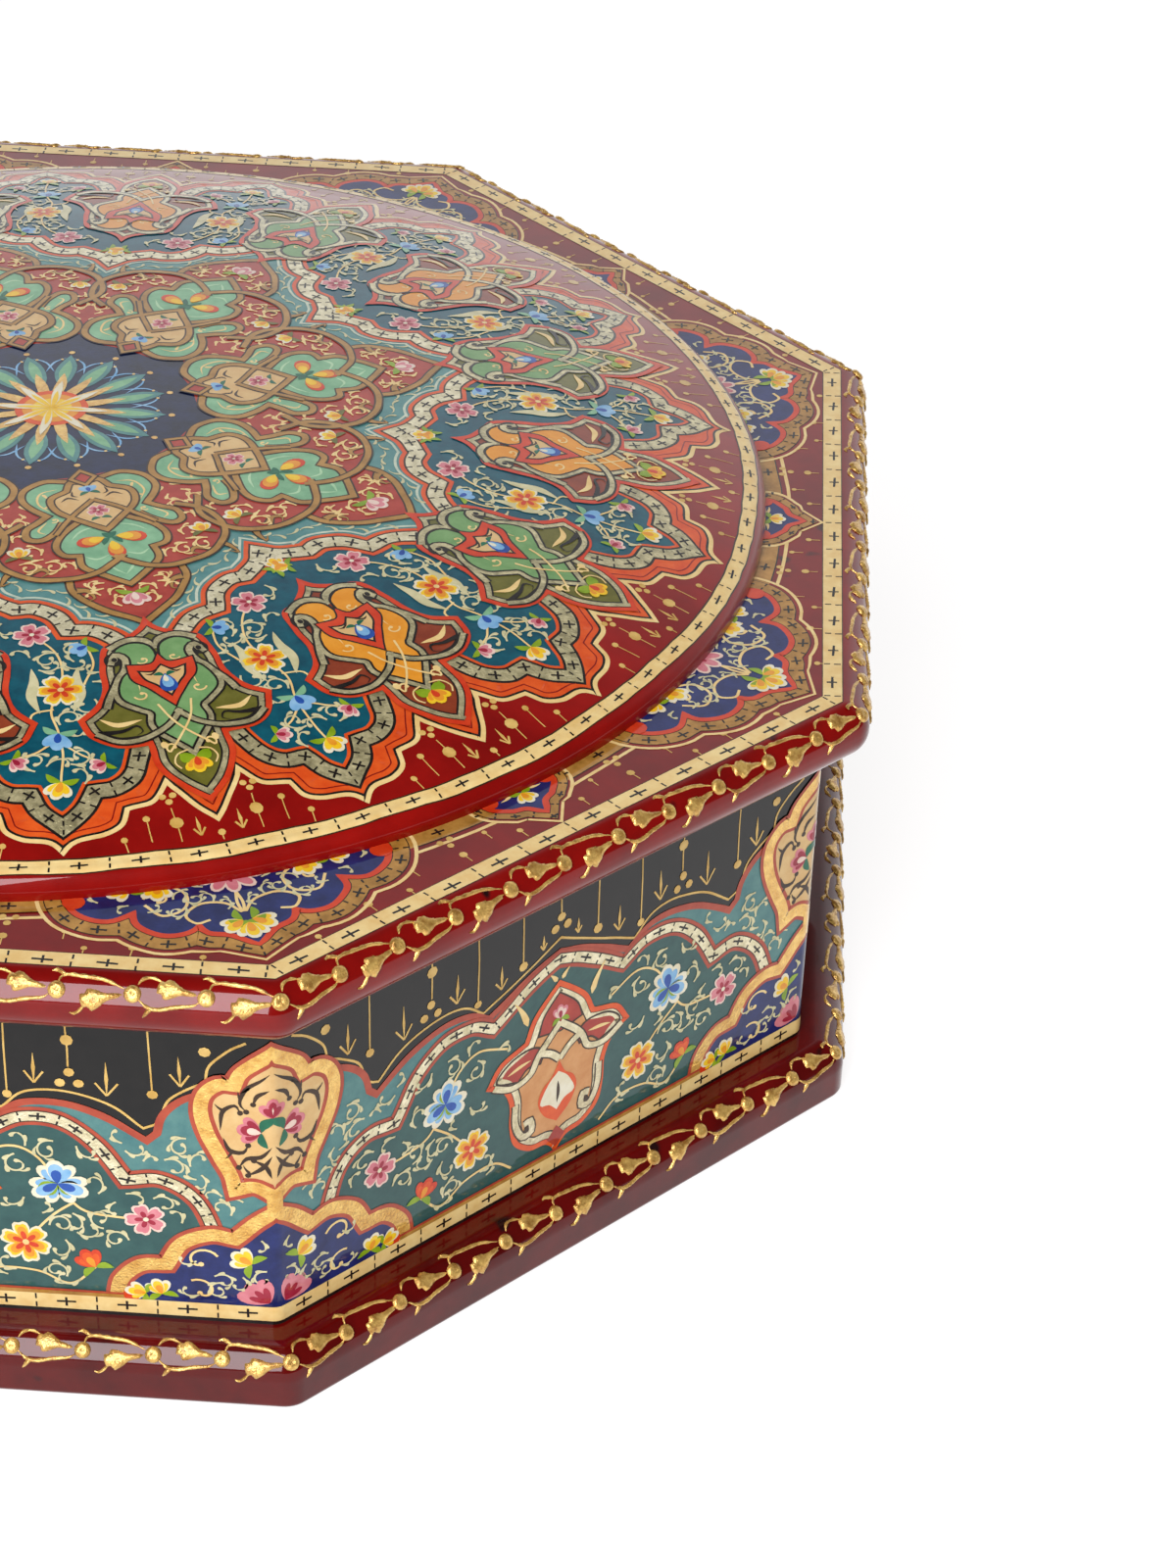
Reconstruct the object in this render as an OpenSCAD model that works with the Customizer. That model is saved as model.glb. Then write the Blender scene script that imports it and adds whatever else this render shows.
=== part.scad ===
// Octagonal lacquered papier mache box with a lift-off lid and a raised round medallion.
// Origin: middle of the underside. +Z is up and the front side faces -Y. Millimetres.

/* [Base] */
// Width of the base plate across its flats
base_w = 208.6; // [206:0.1:216]
// Thickness of the base plate
base_h = 7.4; // [6:0.1:10]
// Radius of the base plate's upper edge
base_shoulder_r = 3.4; // [2:0.1:4]
// Radius of the base plate's lower edge
base_foot_r = 0.8; // [0.4:0.1:1.5]

/* [Walls] */
// Outer width of the eight walls across their flats
wall_w = 196.3; // [194:0.1:200]
// Height of the walls between the two plates
wall_h = 43.3; // [30:0.1:70]
// Thickness of a wall board
wall_t = 4.0; // [3:0.1:6]
// Thickness of the inner floor board
floor_t = 2.0; // [1:0.1:4]

/* [Lid] */
// Width of the lid plate across its flats
lid_w = 207.0; // [205:0.1:210]
// Thickness of the lid plate
lid_h = 6.9; // [6.8:0.1:10]
// Radius of both edges of the lid plate
lid_edge_r = 3.3; // [2:0.1:3.3]
// Depth of the locating collar under the lid
collar_h = 5.0; // [3:0.1:10]
// Thickness of a collar strip
collar_t = 3.0; // [2:0.1:4]
// Gap between the collar and the walls
collar_gap = 0.5; // [0.3:0.1:1]
// Thickness of the board that lines the lid inside its collar
lining_t = 1.2; // [0.8:0.1:2]

/* [Medallion] */
// Diameter of the medallion at its foot
disc_d = 181.0; // [140:0.5:190]
// Radius of the medallion's rounded shoulder
shoulder_r = 2.4; // [1:0.1:3]
// Height of the shoulder above the lid's flat
shoulder_h = 3.1; // [3:0.1:6]
// Rise of the dome above the shoulder
dome_rise = 7.2; // [2:0.1:12]
// How flat the dome's middle is: 2 is a parabola and more is flatter
dome_power = 3.4; // [2:0.1:5]
// Straight steps along the dome's profile
dome_steps = 24; // [12:1:36]

/* [Hidden] */
sides = 8;
side_turn = 360 / sides;
// Small overlap that lets cuts pass right through
past = 1;

wall_outer = wall_w / 2;
wall_inner = wall_outer - wall_t;
wall_top = base_h + wall_h;
lid_top = wall_top + lid_h;
collar_outer = wall_inner - collar_gap;
collar_inner = collar_outer - collar_t;
dome_r = disc_d / 2 - shoulder_r;

red_lacquer = "#8a1512";
painted_turquoise = "#5f9690";
painted_teal = "#14555f";
black_lacquer = "#1b1718";
paper_board = "#b39b78";

// Distance from the middle of a side to its corner, for an octagon of this apothem
function half_side(apothem) = apothem * tan(side_turn / 2);

// A regular octagon with one flat side towards -Y
module octagon(apothem) {
    rotate(side_turn / 2) circle(r = apothem / cos(side_turn / 2), $fn = sides);
}

// Upright cross-section through an octagonal plate, with round upper and lower edges
module plate_section(half_w, height, upper_r, lower_r) {
    for (s = [-1, 1]) {
        translate([s * (half_w - upper_r), height - upper_r]) circle(upper_r, $fn = 48);
        translate([s * (half_w - lower_r), lower_r]) circle(lower_r, $fn = 48);
    }
    translate([-half_w, lower_r]) square([2 * half_w, height - upper_r - lower_r]);
    translate([-half_w + upper_r, lower_r]) square([2 * (half_w - upper_r), height - lower_r]);
    translate([-half_w + lower_r, 0]) square([2 * (half_w - lower_r), height - upper_r]);
}

// An octagonal plate: what four crossed bars of one section have in common
module octagonal_plate(apothem, height, upper_r, lower_r) {
    reach = half_side(apothem) / sin(side_turn / 2) + past;
    intersection_for (i = [0:sides / 2 - 1])
        rotate(i * side_turn)
            rotate([90, 0, 0])
                translate([0, 0, -reach])
                    linear_extrude(2 * reach) plate_section(apothem, height, upper_r, lower_r);
}

// One mitred board of an octagonal ring, on side i, counted from the front
module mitred_board(i, outer, inner, height) {
    rotate((i - 1) * side_turn)
        linear_extrude(height) polygon([
            [-half_side(outer), -outer],
            [half_side(outer), -outer],
            [half_side(inner), -inner],
            [-half_side(inner), -inner]
        ]);
}

// Height of the dome above the shoulder at radius r
function dome_z(r) = dome_rise * (1 - pow(r / dome_r, dome_power));

module base_plate() {
    color(red_lacquer) octagonal_plate(base_w / 2, base_h, base_shoulder_r, base_foot_r);
}

module floor_board() {
    color(black_lacquer) translate([0, 0, base_h]) linear_extrude(floor_t) octagon(wall_inner);
}

module wall_panel(i) {
    wall_colour = i % 2 == 1 ? painted_turquoise : painted_teal;
    color(wall_colour) translate([0, 0, base_h]) mitred_board(i, wall_outer, wall_inner, wall_h);
}

module lid_plate() {
    color(red_lacquer) translate([0, 0, wall_top]) octagonal_plate(lid_w / 2, lid_h, lid_edge_r, lid_edge_r);
}

// Low drum with a round shoulder, and a flat-topped dome inside the shoulder
module lid_disc() {
    color(painted_teal) translate([0, 0, lid_top]) rotate_extrude($fn = 144) {
        translate([dome_r, shoulder_h - shoulder_r]) intersection() {
            circle(shoulder_r, $fn = 48);
            square(shoulder_r);
        }
        translate([dome_r - past, 0]) square([past + shoulder_r, shoulder_h - shoulder_r]);
        polygon(concat(
            [[0, 0], [dome_r, 0]],
            [for (k = [0:dome_steps])
                let (r = dome_r * (1 - k / dome_steps))
                [r, shoulder_h + dome_z(r)]]
        ));
    }
}

module lid_lining() {
    color(black_lacquer) translate([0, 0, wall_top - lining_t]) linear_extrude(lining_t) octagon(collar_inner);
}

module collar_strip(i) {
    color(paper_board) translate([0, 0, wall_top - collar_h]) mitred_board(i, collar_outer, collar_inner, collar_h);
}

base_plate();
floor_board();
for (i = [1:sides])
    wall_panel(i);
lid_plate();
lid_disc();
lid_lining();
for (i = [1:sides])
    collar_strip(i);
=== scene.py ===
# %% [markdown]
# Octagonal papier mache box, painted and lacquered.
# The real box is made of paper boards, coated with ground and lacquer, then painted with fine brushes
# and varnished until it shines. The boards are simple; nearly all of the work is in the painting.
# So the boards here are a few clean meshes, and the painting is drawn as thin closed shapes, one on
# top of the other, the way the brush lays it down. Each shape lies a few hundredths of a millimetre
# above the one below, on the true surface of the lid, the dome or the wall.

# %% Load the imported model
import math

import bpy
import numpy as np
from mathutils import Matrix, Vector
from mathutils.geometry import delaunay_2d_cdt


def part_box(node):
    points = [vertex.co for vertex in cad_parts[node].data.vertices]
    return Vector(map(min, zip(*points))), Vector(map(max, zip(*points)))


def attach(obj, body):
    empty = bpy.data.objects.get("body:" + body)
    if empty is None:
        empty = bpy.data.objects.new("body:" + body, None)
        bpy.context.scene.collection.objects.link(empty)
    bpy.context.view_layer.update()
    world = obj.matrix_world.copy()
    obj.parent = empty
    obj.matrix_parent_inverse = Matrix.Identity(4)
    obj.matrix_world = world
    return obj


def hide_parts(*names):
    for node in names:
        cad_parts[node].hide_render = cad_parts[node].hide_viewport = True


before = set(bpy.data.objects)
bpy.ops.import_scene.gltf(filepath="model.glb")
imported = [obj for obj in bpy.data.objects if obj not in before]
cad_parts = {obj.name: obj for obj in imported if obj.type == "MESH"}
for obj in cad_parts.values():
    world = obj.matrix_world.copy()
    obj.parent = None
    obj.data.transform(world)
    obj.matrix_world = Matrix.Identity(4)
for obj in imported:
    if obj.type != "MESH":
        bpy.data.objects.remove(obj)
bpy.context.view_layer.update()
MM = 0.001
TURN = 2 * math.pi
SIDES = 8
SIDE_TURN = TURN / SIDES
HALF_TURN = SIDE_TURN / 2

# %% [markdown]
# Sizes come from the CAD nodes themselves, so that the painting fits whatever the boards measure.
# Lengths below are in millimetres until a point is placed on the box.

# %% Read the sizes of the boards
def corners_of(node):
    """The lowest and the highest corner of a node, in millimetres."""
    return [np.array(corner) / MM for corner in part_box(node)]


base_high = corners_of("base_plate")[1]
plate_low, plate_high = corners_of("lid_plate")
disc_high = corners_of("lid_disc")[1]
wall_low, wall_high = corners_of("wall_panel_1")
BASE_APOTHEM, BASE_TOP = base_high[0], base_high[2]
LID_APOTHEM, LID_TOP, LID_UNDER = plate_high[0], plate_high[2], plate_low[2]
WALL_APOTHEM, WALL_INSIDE = -wall_low[1], -wall_high[1]
HALF_WALL = wall_high[0]
DISC_FOOT = disc_high[0]
SHOULDER_R = 2.4
SHOULDER_H = 3.1
SHOULDER_TOP = LID_TOP + SHOULDER_H
DOME_R = DISC_FOOT - SHOULDER_R
DOME_RISE = disc_high[2] - SHOULDER_TOP
DOME_POWER = 3.4
SKIN = 0.28
print("lid", LID_APOTHEM * 2, "walls", WALL_APOTHEM * 2, "top", LID_TOP, "dome", DOME_RISE)

# %% [markdown]
# The camera stands where the photographer stood: low in front, a little to the right, looking down
# at about 35 degrees through a long lens. The box runs out of the left of the frame.

# %% Camera
SENSOR = 36.0
LENS = 78.31
CAMERA_PLACE = Vector((0.083268, -0.375520, 0.273862))
CAMERA_LOOK = Vector((-0.0307588, 0.8232433, -0.5668548))
CAMERA_TURN = math.radians(2.14)


def add_camera():
    """The photograph's view: the look direction, then a small roll about it."""
    data = bpy.data.cameras.new("camera")
    data.sensor_width = SENSOR
    data.lens = LENS
    data.clip_start = 0.01
    camera = bpy.data.objects.new("camera", data)
    bpy.context.collection.objects.link(camera)
    level = CAMERA_LOOK.to_track_quat("-Z", "Y").to_matrix()
    camera.matrix_world = Matrix.Translation(CAMERA_PLACE) @ (
        level @ Matrix.Rotation(CAMERA_TURN, 3, "Z")
    ).to_4x4()
    bpy.context.scene.camera = camera


add_camera()

# %% [markdown]
# A white table that glows a little, as a lit paper sweep does, and soft light. The wall behind the box
# is bright: its reflection lies like a veil over the far part of the lid and fades towards the front. A
# long panel leans over the front left and draws the line of light along the round edges. A broad lamp
# fills the shadows, and the varnish doesn't mirror it.

# %% Table, room and lights
def wired(tree, node, sockets, **settings):
    """A node, made here if only its kind is given. Its sockets get values or other nodes' outputs."""
    if isinstance(node, str):
        node = tree.nodes.new(node)
    for key, value in settings.items():
        setattr(node, key, value)
    for key, value in sockets.items():
        if isinstance(value, bpy.types.NodeSocket):
            tree.links.new(value, node.inputs[key])
        else:
            node.inputs[key].default_value = value
    return node


def maths(tree, operation, *terms):
    """The result of a sum of numbers or outputs."""
    return wired(tree, "ShaderNodeMath", dict(enumerate(terms)), operation=operation).outputs[0]


def new_material(name):
    """A material, its node tree and its shader."""
    material = bpy.data.materials.new(name)
    material.use_nodes = True
    return material, material.node_tree, material.node_tree.nodes["Principled BSDF"]


def add_table():
    """A wide white floor that keeps the box's shadow."""
    mesh = bpy.data.meshes.new("table")
    reach = 4.0
    corners = [(-reach, -reach, 0), (reach, -reach, 0), (reach, reach, 0), (-reach, reach, 0)]
    mesh.from_pydata(corners, [], [(0, 1, 2, 3)])
    table = bpy.data.objects.new("table", mesh)
    bpy.context.collection.objects.link(table)
    material, tree, shader = new_material("white_table")
    look = {
        "Base Color": (0.22, 0.22, 0.22, 1),
        "Roughness": 0.9,
        "Specular IOR Level": 0.1,
        "Emission Color": (1, 0.99, 0.985, 1),
        "Emission Strength": 0.86,
    }
    wired(tree, shader, look)
    mesh.materials.append(material)


def add_room(fill, wall):
    """Dim light from all round, a bright wall behind the box, and white wherever the camera looks."""
    world = bpy.data.worlds.new("room")
    world.use_nodes = True
    tree = world.node_tree
    place = wired(tree, "ShaderNodeTexCoord", {})
    way = wired(tree, "ShaderNodeSeparateXYZ", {0: place.outputs["Generated"]})
    parts = []
    for axis, start, end in (("Y", 0.15, 0.75), ("Z", 0.80, 0.42)):
        edges = {"From Min": start, "From Max": end, "Value": way.outputs[axis]}
        part = wired(tree, "ShaderNodeMapRange", edges, interpolation_type="SMOOTHSTEP")
        parts.append(part.outputs["Result"])
    total = maths(tree, "MULTIPLY_ADD", maths(tree, "MULTIPLY", *parts), wall, fill)
    path = wired(tree, "ShaderNodeLightPath", {})
    seen = maths(tree, "MAXIMUM", total, path.outputs["Is Camera Ray"])
    wired(tree, tree.nodes["Background"], {"Color": (0.97, 0.98, 1.0, 1), "Strength": seen})
    bpy.context.scene.world = world


def add_panel(name, place, towards, width, height, watts, tint=(1, 1, 1)):
    """A soft rectangular lamp that faces a point."""
    data = bpy.data.lights.new(name, "AREA")
    data.shape = "RECTANGLE"
    data.size, data.size_y = width, height
    data.energy = watts
    data.color = tint
    lamp = bpy.data.objects.new(name, data)
    bpy.context.collection.objects.link(lamp)
    lamp.location = place
    lamp.rotation_euler = (Vector(towards) - Vector(place)).to_track_quat("-Z", "Y").to_euler()
    return lamp


bpy.context.scene.view_settings.view_transform = "Standard"
add_table()
add_room(fill=0.07, wall=1.1)
add_panel("front_panel", (-0.19, -0.82, 0.62), (0, -0.08, 0.05), 0.40, 1.25, 16.0, (0.98, 0.97, 1.0))
fill_lamp = add_panel("fill_lamp", (0.7, -1.0, 1.2), (0, 0, 0.05), 1.0, 1.0, 8.0)
fill_lamp.visible_glossy = False

# %% [markdown]
# Every paint is the same kind of material: a colour that varies a little as brushed paint does, a
# fine tooth, and one thick clear coat on top. The coat is the varnish, so all paints share its gloss.
# The leaf metals are the same with a metal base.

# %% Paints
PAINT_DEPTH = 0.72


def linear(text, factor=1.0):
    """A colour as it is written on screen, turned into the light that a shader works with."""
    parts = [int(text[i : i + 2], 16) / 255 for i in (1, 3, 5)]
    light = [p / 12.92 if p <= 0.04045 else ((p + 0.055) / 1.055) ** 2.4 for p in parts]
    return [min(1, factor * part) for part in light] + [1]


def varnished(name, dark, light, grain=420.0, rough=0.4, metal=0.0, coat=1.0, tooth=0.12, flecks=False):
    """Brushed paint or leaf under clear varnish."""
    depth = 1.0 if metal else PAINT_DEPTH
    material, tree, shader = new_material(name)
    place = wired(tree, "ShaderNodeTexCoord", {}).outputs["Object"]

    def noise(scale, **more):
        sockets = {"Vector": place, "Scale": scale, **more}
        return wired(tree, "ShaderNodeTexNoise", sockets).outputs["Fac"]

    def blend(value, low, high, first, second):
        share = wired(tree, "ShaderNodeMapRange", {"Value": value, "From Min": low, "From Max": high})
        sockets = {"Factor": share.outputs["Result"], "A": first, "B": second}
        return wired(tree, "ShaderNodeMix", sockets, data_type="RGBA").outputs["Result"]

    clouds = noise(grain, Detail=4.0, Roughness=0.62)
    colour = blend(clouds, 0.32, 0.68, linear(dark, depth), linear(light, depth))
    if flecks:
        colour = blend(noise(150.0), 0.69, 0.73, colour, linear("#1c0808"))
    relief = {"Strength": tooth, "Distance": 0.0002, "Height": noise(grain * 5)}
    look = {
        "Base Color": colour,
        "Normal": wired(tree, "ShaderNodeBump", relief).outputs["Normal"],
        "Roughness": rough,
        "Metallic": metal,
        "Coat Weight": coat,
        "Coat Roughness": 0.03,
        "Coat IOR": 1.38,
        "Specular IOR Level": 0.5 if metal else 0.04,
    }
    wired(tree, shader, look)
    return material


PAINT_COLOURS = {
    "cream": ("#eec67c", "#fce09c"),
    "ivory": ("#e8dcb8", "#f6f0d8"),
    "black": ("#161210", "#2a2420"),
    "umber": ("#2c1c12", "#46301e"),
    "vermilion": ("#dc4a16", "#ee6424"),
    "scarlet": ("#cf3414", "#e04a24"),
    "brick": ("#a8402c", "#bc5238"),
    "maroon": ("#7c0e0a", "#961812"),
    "rust": ("#84341c", "#9a4426"),
    "coral": ("#a22e22", "#ba4232"),
    "orange": ("#e8921c", "#f4a634"),
    "yellow": ("#f8c010", "#fcd838"),
    "teal": ("#06485a", "#0e6070"),
    "slate_teal": ("#2a5150", "#365f5b"),
    "turquoise": ("#4a8484", "#649a96"),
    "indigo": ("#141f54", "#223070"),
    "night": ("#10162e", "#1c2850"),
    "mint": ("#76ae84", "#92c69a"),
    "sage": ("#6c9a5c", "#84ae70"),
    "olive": ("#626020", "#787430"),
    "leaf_green": ("#7a9a10", "#98b428"),
    "fir_green": ("#145c44", "#207454"),
    "rose": ("#d0707c", "#e49098"),
    "blush": ("#eccab8", "#f6dece"),
    "crimson": ("#981c34", "#b02c44"),
    "sky": ("#6aa8d8", "#9cc8e8"),
    "cobalt": ("#1c4494", "#2c5cb4"),
    "tan": ("#d08c50", "#e0a468"),
    "beige": ("#dcb070", "#e8c488"),
    "charcoal": ("#0c0b0b", "#161413"),
    "old_gold": ("#a07434", "#c09048"),
    "bronze": ("#966a28", "#c89448"),
    "drop_gold": ("#cca04c", "#ecc674"),
    "frond": ("#c8c090", "#e4dcae"),
    "ice": ("#b8c8b4", "#dce4cc"),
    "wall_turquoise": ("#44787a", "#5c8c88"),
    "pale_mint": ("#a4d0a2", "#c2e4b8"),
}
LEAF_COLOURS = {
    "gold_leaf": ("#d29a40", "#f6cc70"),
    "silver_leaf": ("#948a62", "#dccf9e"),
    "pale_leaf": ("#c4b88c", "#f2e8c4"),
}
paints = {name: varnished("paint_" + name, *pair) for name, pair in PAINT_COLOURS.items()}
for name, pair in LEAF_COLOURS.items():
    paints[name] = varnished(name, *pair, grain=700.0, rough=0.3, metal=0.7, tooth=0.9)
red_lacquer = varnished("red_lacquer", "#820805", "#a0110a", grain=90.0, rough=0.3, tooth=0.05)
worn = {"grain": 110.0, "rough": 0.3, "tooth": 0.05, "flecks": True}
lid_lacquer = varnished("lid_lacquer", "#720705", "#8e0d08", **worn)
edge_lacquer = varnished("edge_lacquer", "#4c0403", "#680806", **worn)
black_lacquer = varnished("black_lacquer", "#100c0c", "#1c1614", grain=120.0, rough=0.45, coat=0.5)
print(len(paints), "paints")

# %% [markdown]
# Lines run through given points, written as a text of x and y in millimetres. A line is smooth
# except where a slash follows a point and makes it a corner, which is all that the cusped outlines of
# this ornament need. Nearly every figure has a mirror axis, so only one half of it is drawn.

# %% Lines and outlines
STEP = 0.55


def points_in(text):
    """Points written as "x y, x y", or other rows of numbers."""
    return np.array([point.split() for point in text.split(",")], float)


def smooth_run(points, step):
    """A smooth curve through the points (Catmull-Rom), in steps of even length."""
    padded = np.vstack([2 * points[0] - points[1], points, 2 * points[-1] - points[-2]])
    pieces = []
    for a, b, c, d in zip(padded, padded[1:], padded[2:], padded[3:]):
        count = max(1, math.ceil(np.linalg.norm(c - b) / step))
        t = (np.arange(count) / count)[:, None]
        cubic = (3 * b - a - 3 * c + d) * t**3
        pieces.append(0.5 * (2 * b + (c - a) * t + (2 * a - 5 * b + 4 * c - d) * t**2 + cubic))
    return np.vstack(pieces + [points[-1:]])


def drawn(text, step=STEP):
    """A smooth line through the points of a text. A slash after a point makes it a corner."""
    runs = [points_in(run) for run in text.split("/")]
    runs = runs[:1] + [np.vstack([before[-1:], run]) for before, run in zip(runs, runs[1:])]
    lines = [smooth_run(run, step) for run in runs]
    return np.vstack([line[:-1] for line in lines[:-1]] + [lines[-1]])


def flipped(line):
    """The mirror image of a line, which runs the other way."""
    return (line * (-1, 1))[::-1]


def mirrored(half):
    """A line across the mirror axis, from its half, which ends on the axis."""
    return np.vstack([half, flipped(half)[1:]])


def full(text):
    """The closed outline whose right half is given, from the axis round to the axis."""
    half = drawn(text)
    closed = np.vstack([half, flipped(half)])
    return closed[np.linalg.norm(closed - np.roll(closed, 1, 0), axis=1) > 1e-6]


def moved(line, at=(0, 0), turn=0.0):
    """A line turned and shifted."""
    c, s = math.cos(turn), math.sin(turn)
    return np.array(line) @ np.array([[c, s], [-s, c]]) + np.array(at)


def round_line(radius, at=(0, 0), wide=1.0):
    """A circle, or an ellipse when it is wide."""
    count = max(8, min(64, int(radius * 12)))
    angles = TURN * np.arange(count) / count
    return np.stack([wide * radius * np.cos(angles), radius * np.sin(angles)], 1) + np.array(at)


def petal(length, width, notch=0.0):
    """A drop that starts in a point at (0, 0) and ends round, or notched, at (0, length)."""
    s = TURN * np.arange(14) / 14
    rise = (1 - np.cos(s)) / 2
    dent = notch * length * np.exp(-(((s - math.pi) / 0.45) ** 2))
    return np.stack([-width * 0.62 * np.sin(s) * rise**0.35, length * rise - dent], 1)


def leaf(length, width, lean=0.0):
    """A pointed leaf from (0, 0) to (0, length), bent to one side."""
    t = np.linspace(0, 1, 8)
    bow = lean * length * np.sin(math.pi * t)
    side = width / 2 * np.sin(math.pi * t) ** 0.8
    right = np.stack([bow + side, length * t], 1)
    left = np.stack([bow - side, length * t], 1)
    return np.vstack([right, left[-2:0:-1]])


def normals_of(line, closed):
    """Unit normals to the left of a line, longer in corners so that a band keeps its width there."""
    ahead = np.roll(line, -1, 0) - line
    behind = line - np.roll(line, 1, 0)
    if not closed:
        ahead[-1], behind[0] = behind[-1], ahead[0]
    ahead /= np.maximum(np.linalg.norm(ahead, axis=1), 1e-9)[:, None]
    behind /= np.maximum(np.linalg.norm(behind, axis=1), 1e-9)[:, None]
    middle = ahead + behind
    middle /= np.maximum(np.linalg.norm(middle, axis=1), 1e-9)[:, None]
    stretch = 1 / np.clip((middle * ahead).sum(1), 0.45, 1)
    return np.stack([-middle[:, 1], middle[:, 0]], 1) * stretch[:, None]


def gap_to(points, line, closed):
    """Distance from each point to the nearest place on a line."""
    ends = np.roll(line, -1, 0) if closed else line[1:]
    starts = line if closed else line[:-1]
    way = ends - starts
    size = np.maximum((way**2).sum(1), 1e-12)
    share = np.clip(((points[:, None] - starts[None]) * way[None]).sum(2) / size, 0, 1)
    nearby = starts[None] + share[..., None] * way[None]
    return np.sqrt(((points[:, None] - nearby) ** 2).sum(2)).min(1)


def crossing(a, b, c, d):
    """Where the line through a and b meets the line through c and d."""
    across = (b - a)[0] * (d - c)[1] - (b - a)[1] * (d - c)[0]
    if abs(across) < 1e-3 * np.linalg.norm(b - a) * np.linalg.norm(d - c):
        return (b + c) / 2
    t = ((c - a)[0] * (d - c)[1] - (c - a)[1] * (d - c)[0]) / across
    met = a + (b - a) * t
    return met if np.linalg.norm(met - (b + c) / 2) < 3 else (b + c) / 2


def beside(line, distance, closed=False):
    """The same line, shifted to its left, or inwards if it is closed. Corners stay clean."""
    x, y = line[:, 0], line[:, 1]
    inwards = -1 if closed and (x * np.roll(y, -1) - np.roll(x, -1) * y).sum() < 0 else 1
    shifted = line + normals_of(line, closed) * distance * inwards
    if abs(distance) < 0.05:
        return shifted
    gap = gap_to(shifted, line, closed)
    ahead, behind = np.roll(line, -1, 0) - line, line - np.roll(line, 1, 0)
    hollow = (behind[:, 0] * ahead[:, 1] - behind[:, 1] * ahead[:, 0]) * distance * inwards > 0
    good = (gap > abs(distance) * 0.985 - 0.01) & ~(hollow & (gap > abs(distance) * 1.02 + 0.01))
    count = len(line)
    if good.all() or good.sum() < 4:
        return shifted
    first = int(np.argmax(good)) if closed else 0
    order = [(first + i) % count for i in range(count)] if closed else list(range(count))
    i = 0
    while i < count:
        if good[order[i]]:
            i += 1
            continue
        end = i
        while end < count and not good[order[end]]:
            end += 1
        if closed or (i > 1 and end < count - 1):
            a, b = shifted[order[i - 2]], shifted[order[i - 1]]
            c, d = shifted[order[end % count]], shifted[order[(end + 1) % count]]
            shifted[[order[k] for k in range(i, end)]] = crossing(a, b, c, d)
        i = end
    return shifted


def along(line):
    """How far along the line each point is, in millimetres."""
    return np.concatenate([[0], np.cumsum(np.linalg.norm(np.diff(line, axis=0), axis=1))])


def point_at(line, length, reach):
    """The point that lies so far along a line."""
    return np.array([np.interp(np.clip(reach, 0, length[-1]), length, line[:, i]) for i in (0, 1)])


# %% [markdown]
# A canvas gathers the shapes painted on one surface. A fill is cut into triangles with extra points
# inside, so that it can follow the dome or turn a wall's rounded corner. A brush line is a strip whose
# width can swell and taper.

# %% Canvas
LAYER = 0.014
BRUSH_SHAPES = {
    "even": lambda t: np.ones_like(t),
    "comma": lambda t: np.sqrt(np.clip(t * 5, 0.02, 1)) * (1.02 - t) ** 0.75,
    "leaf": lambda t: np.sin(math.pi * np.clip(t, 0.01, 0.99)) ** 0.8,
    "tail": lambda t: 1.05 - t,
    "bud": lambda t: (0.14 + 0.86 * t**1.6) * np.sqrt(np.clip((1.001 - t) * 5, 0.02, 1)),
}


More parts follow.
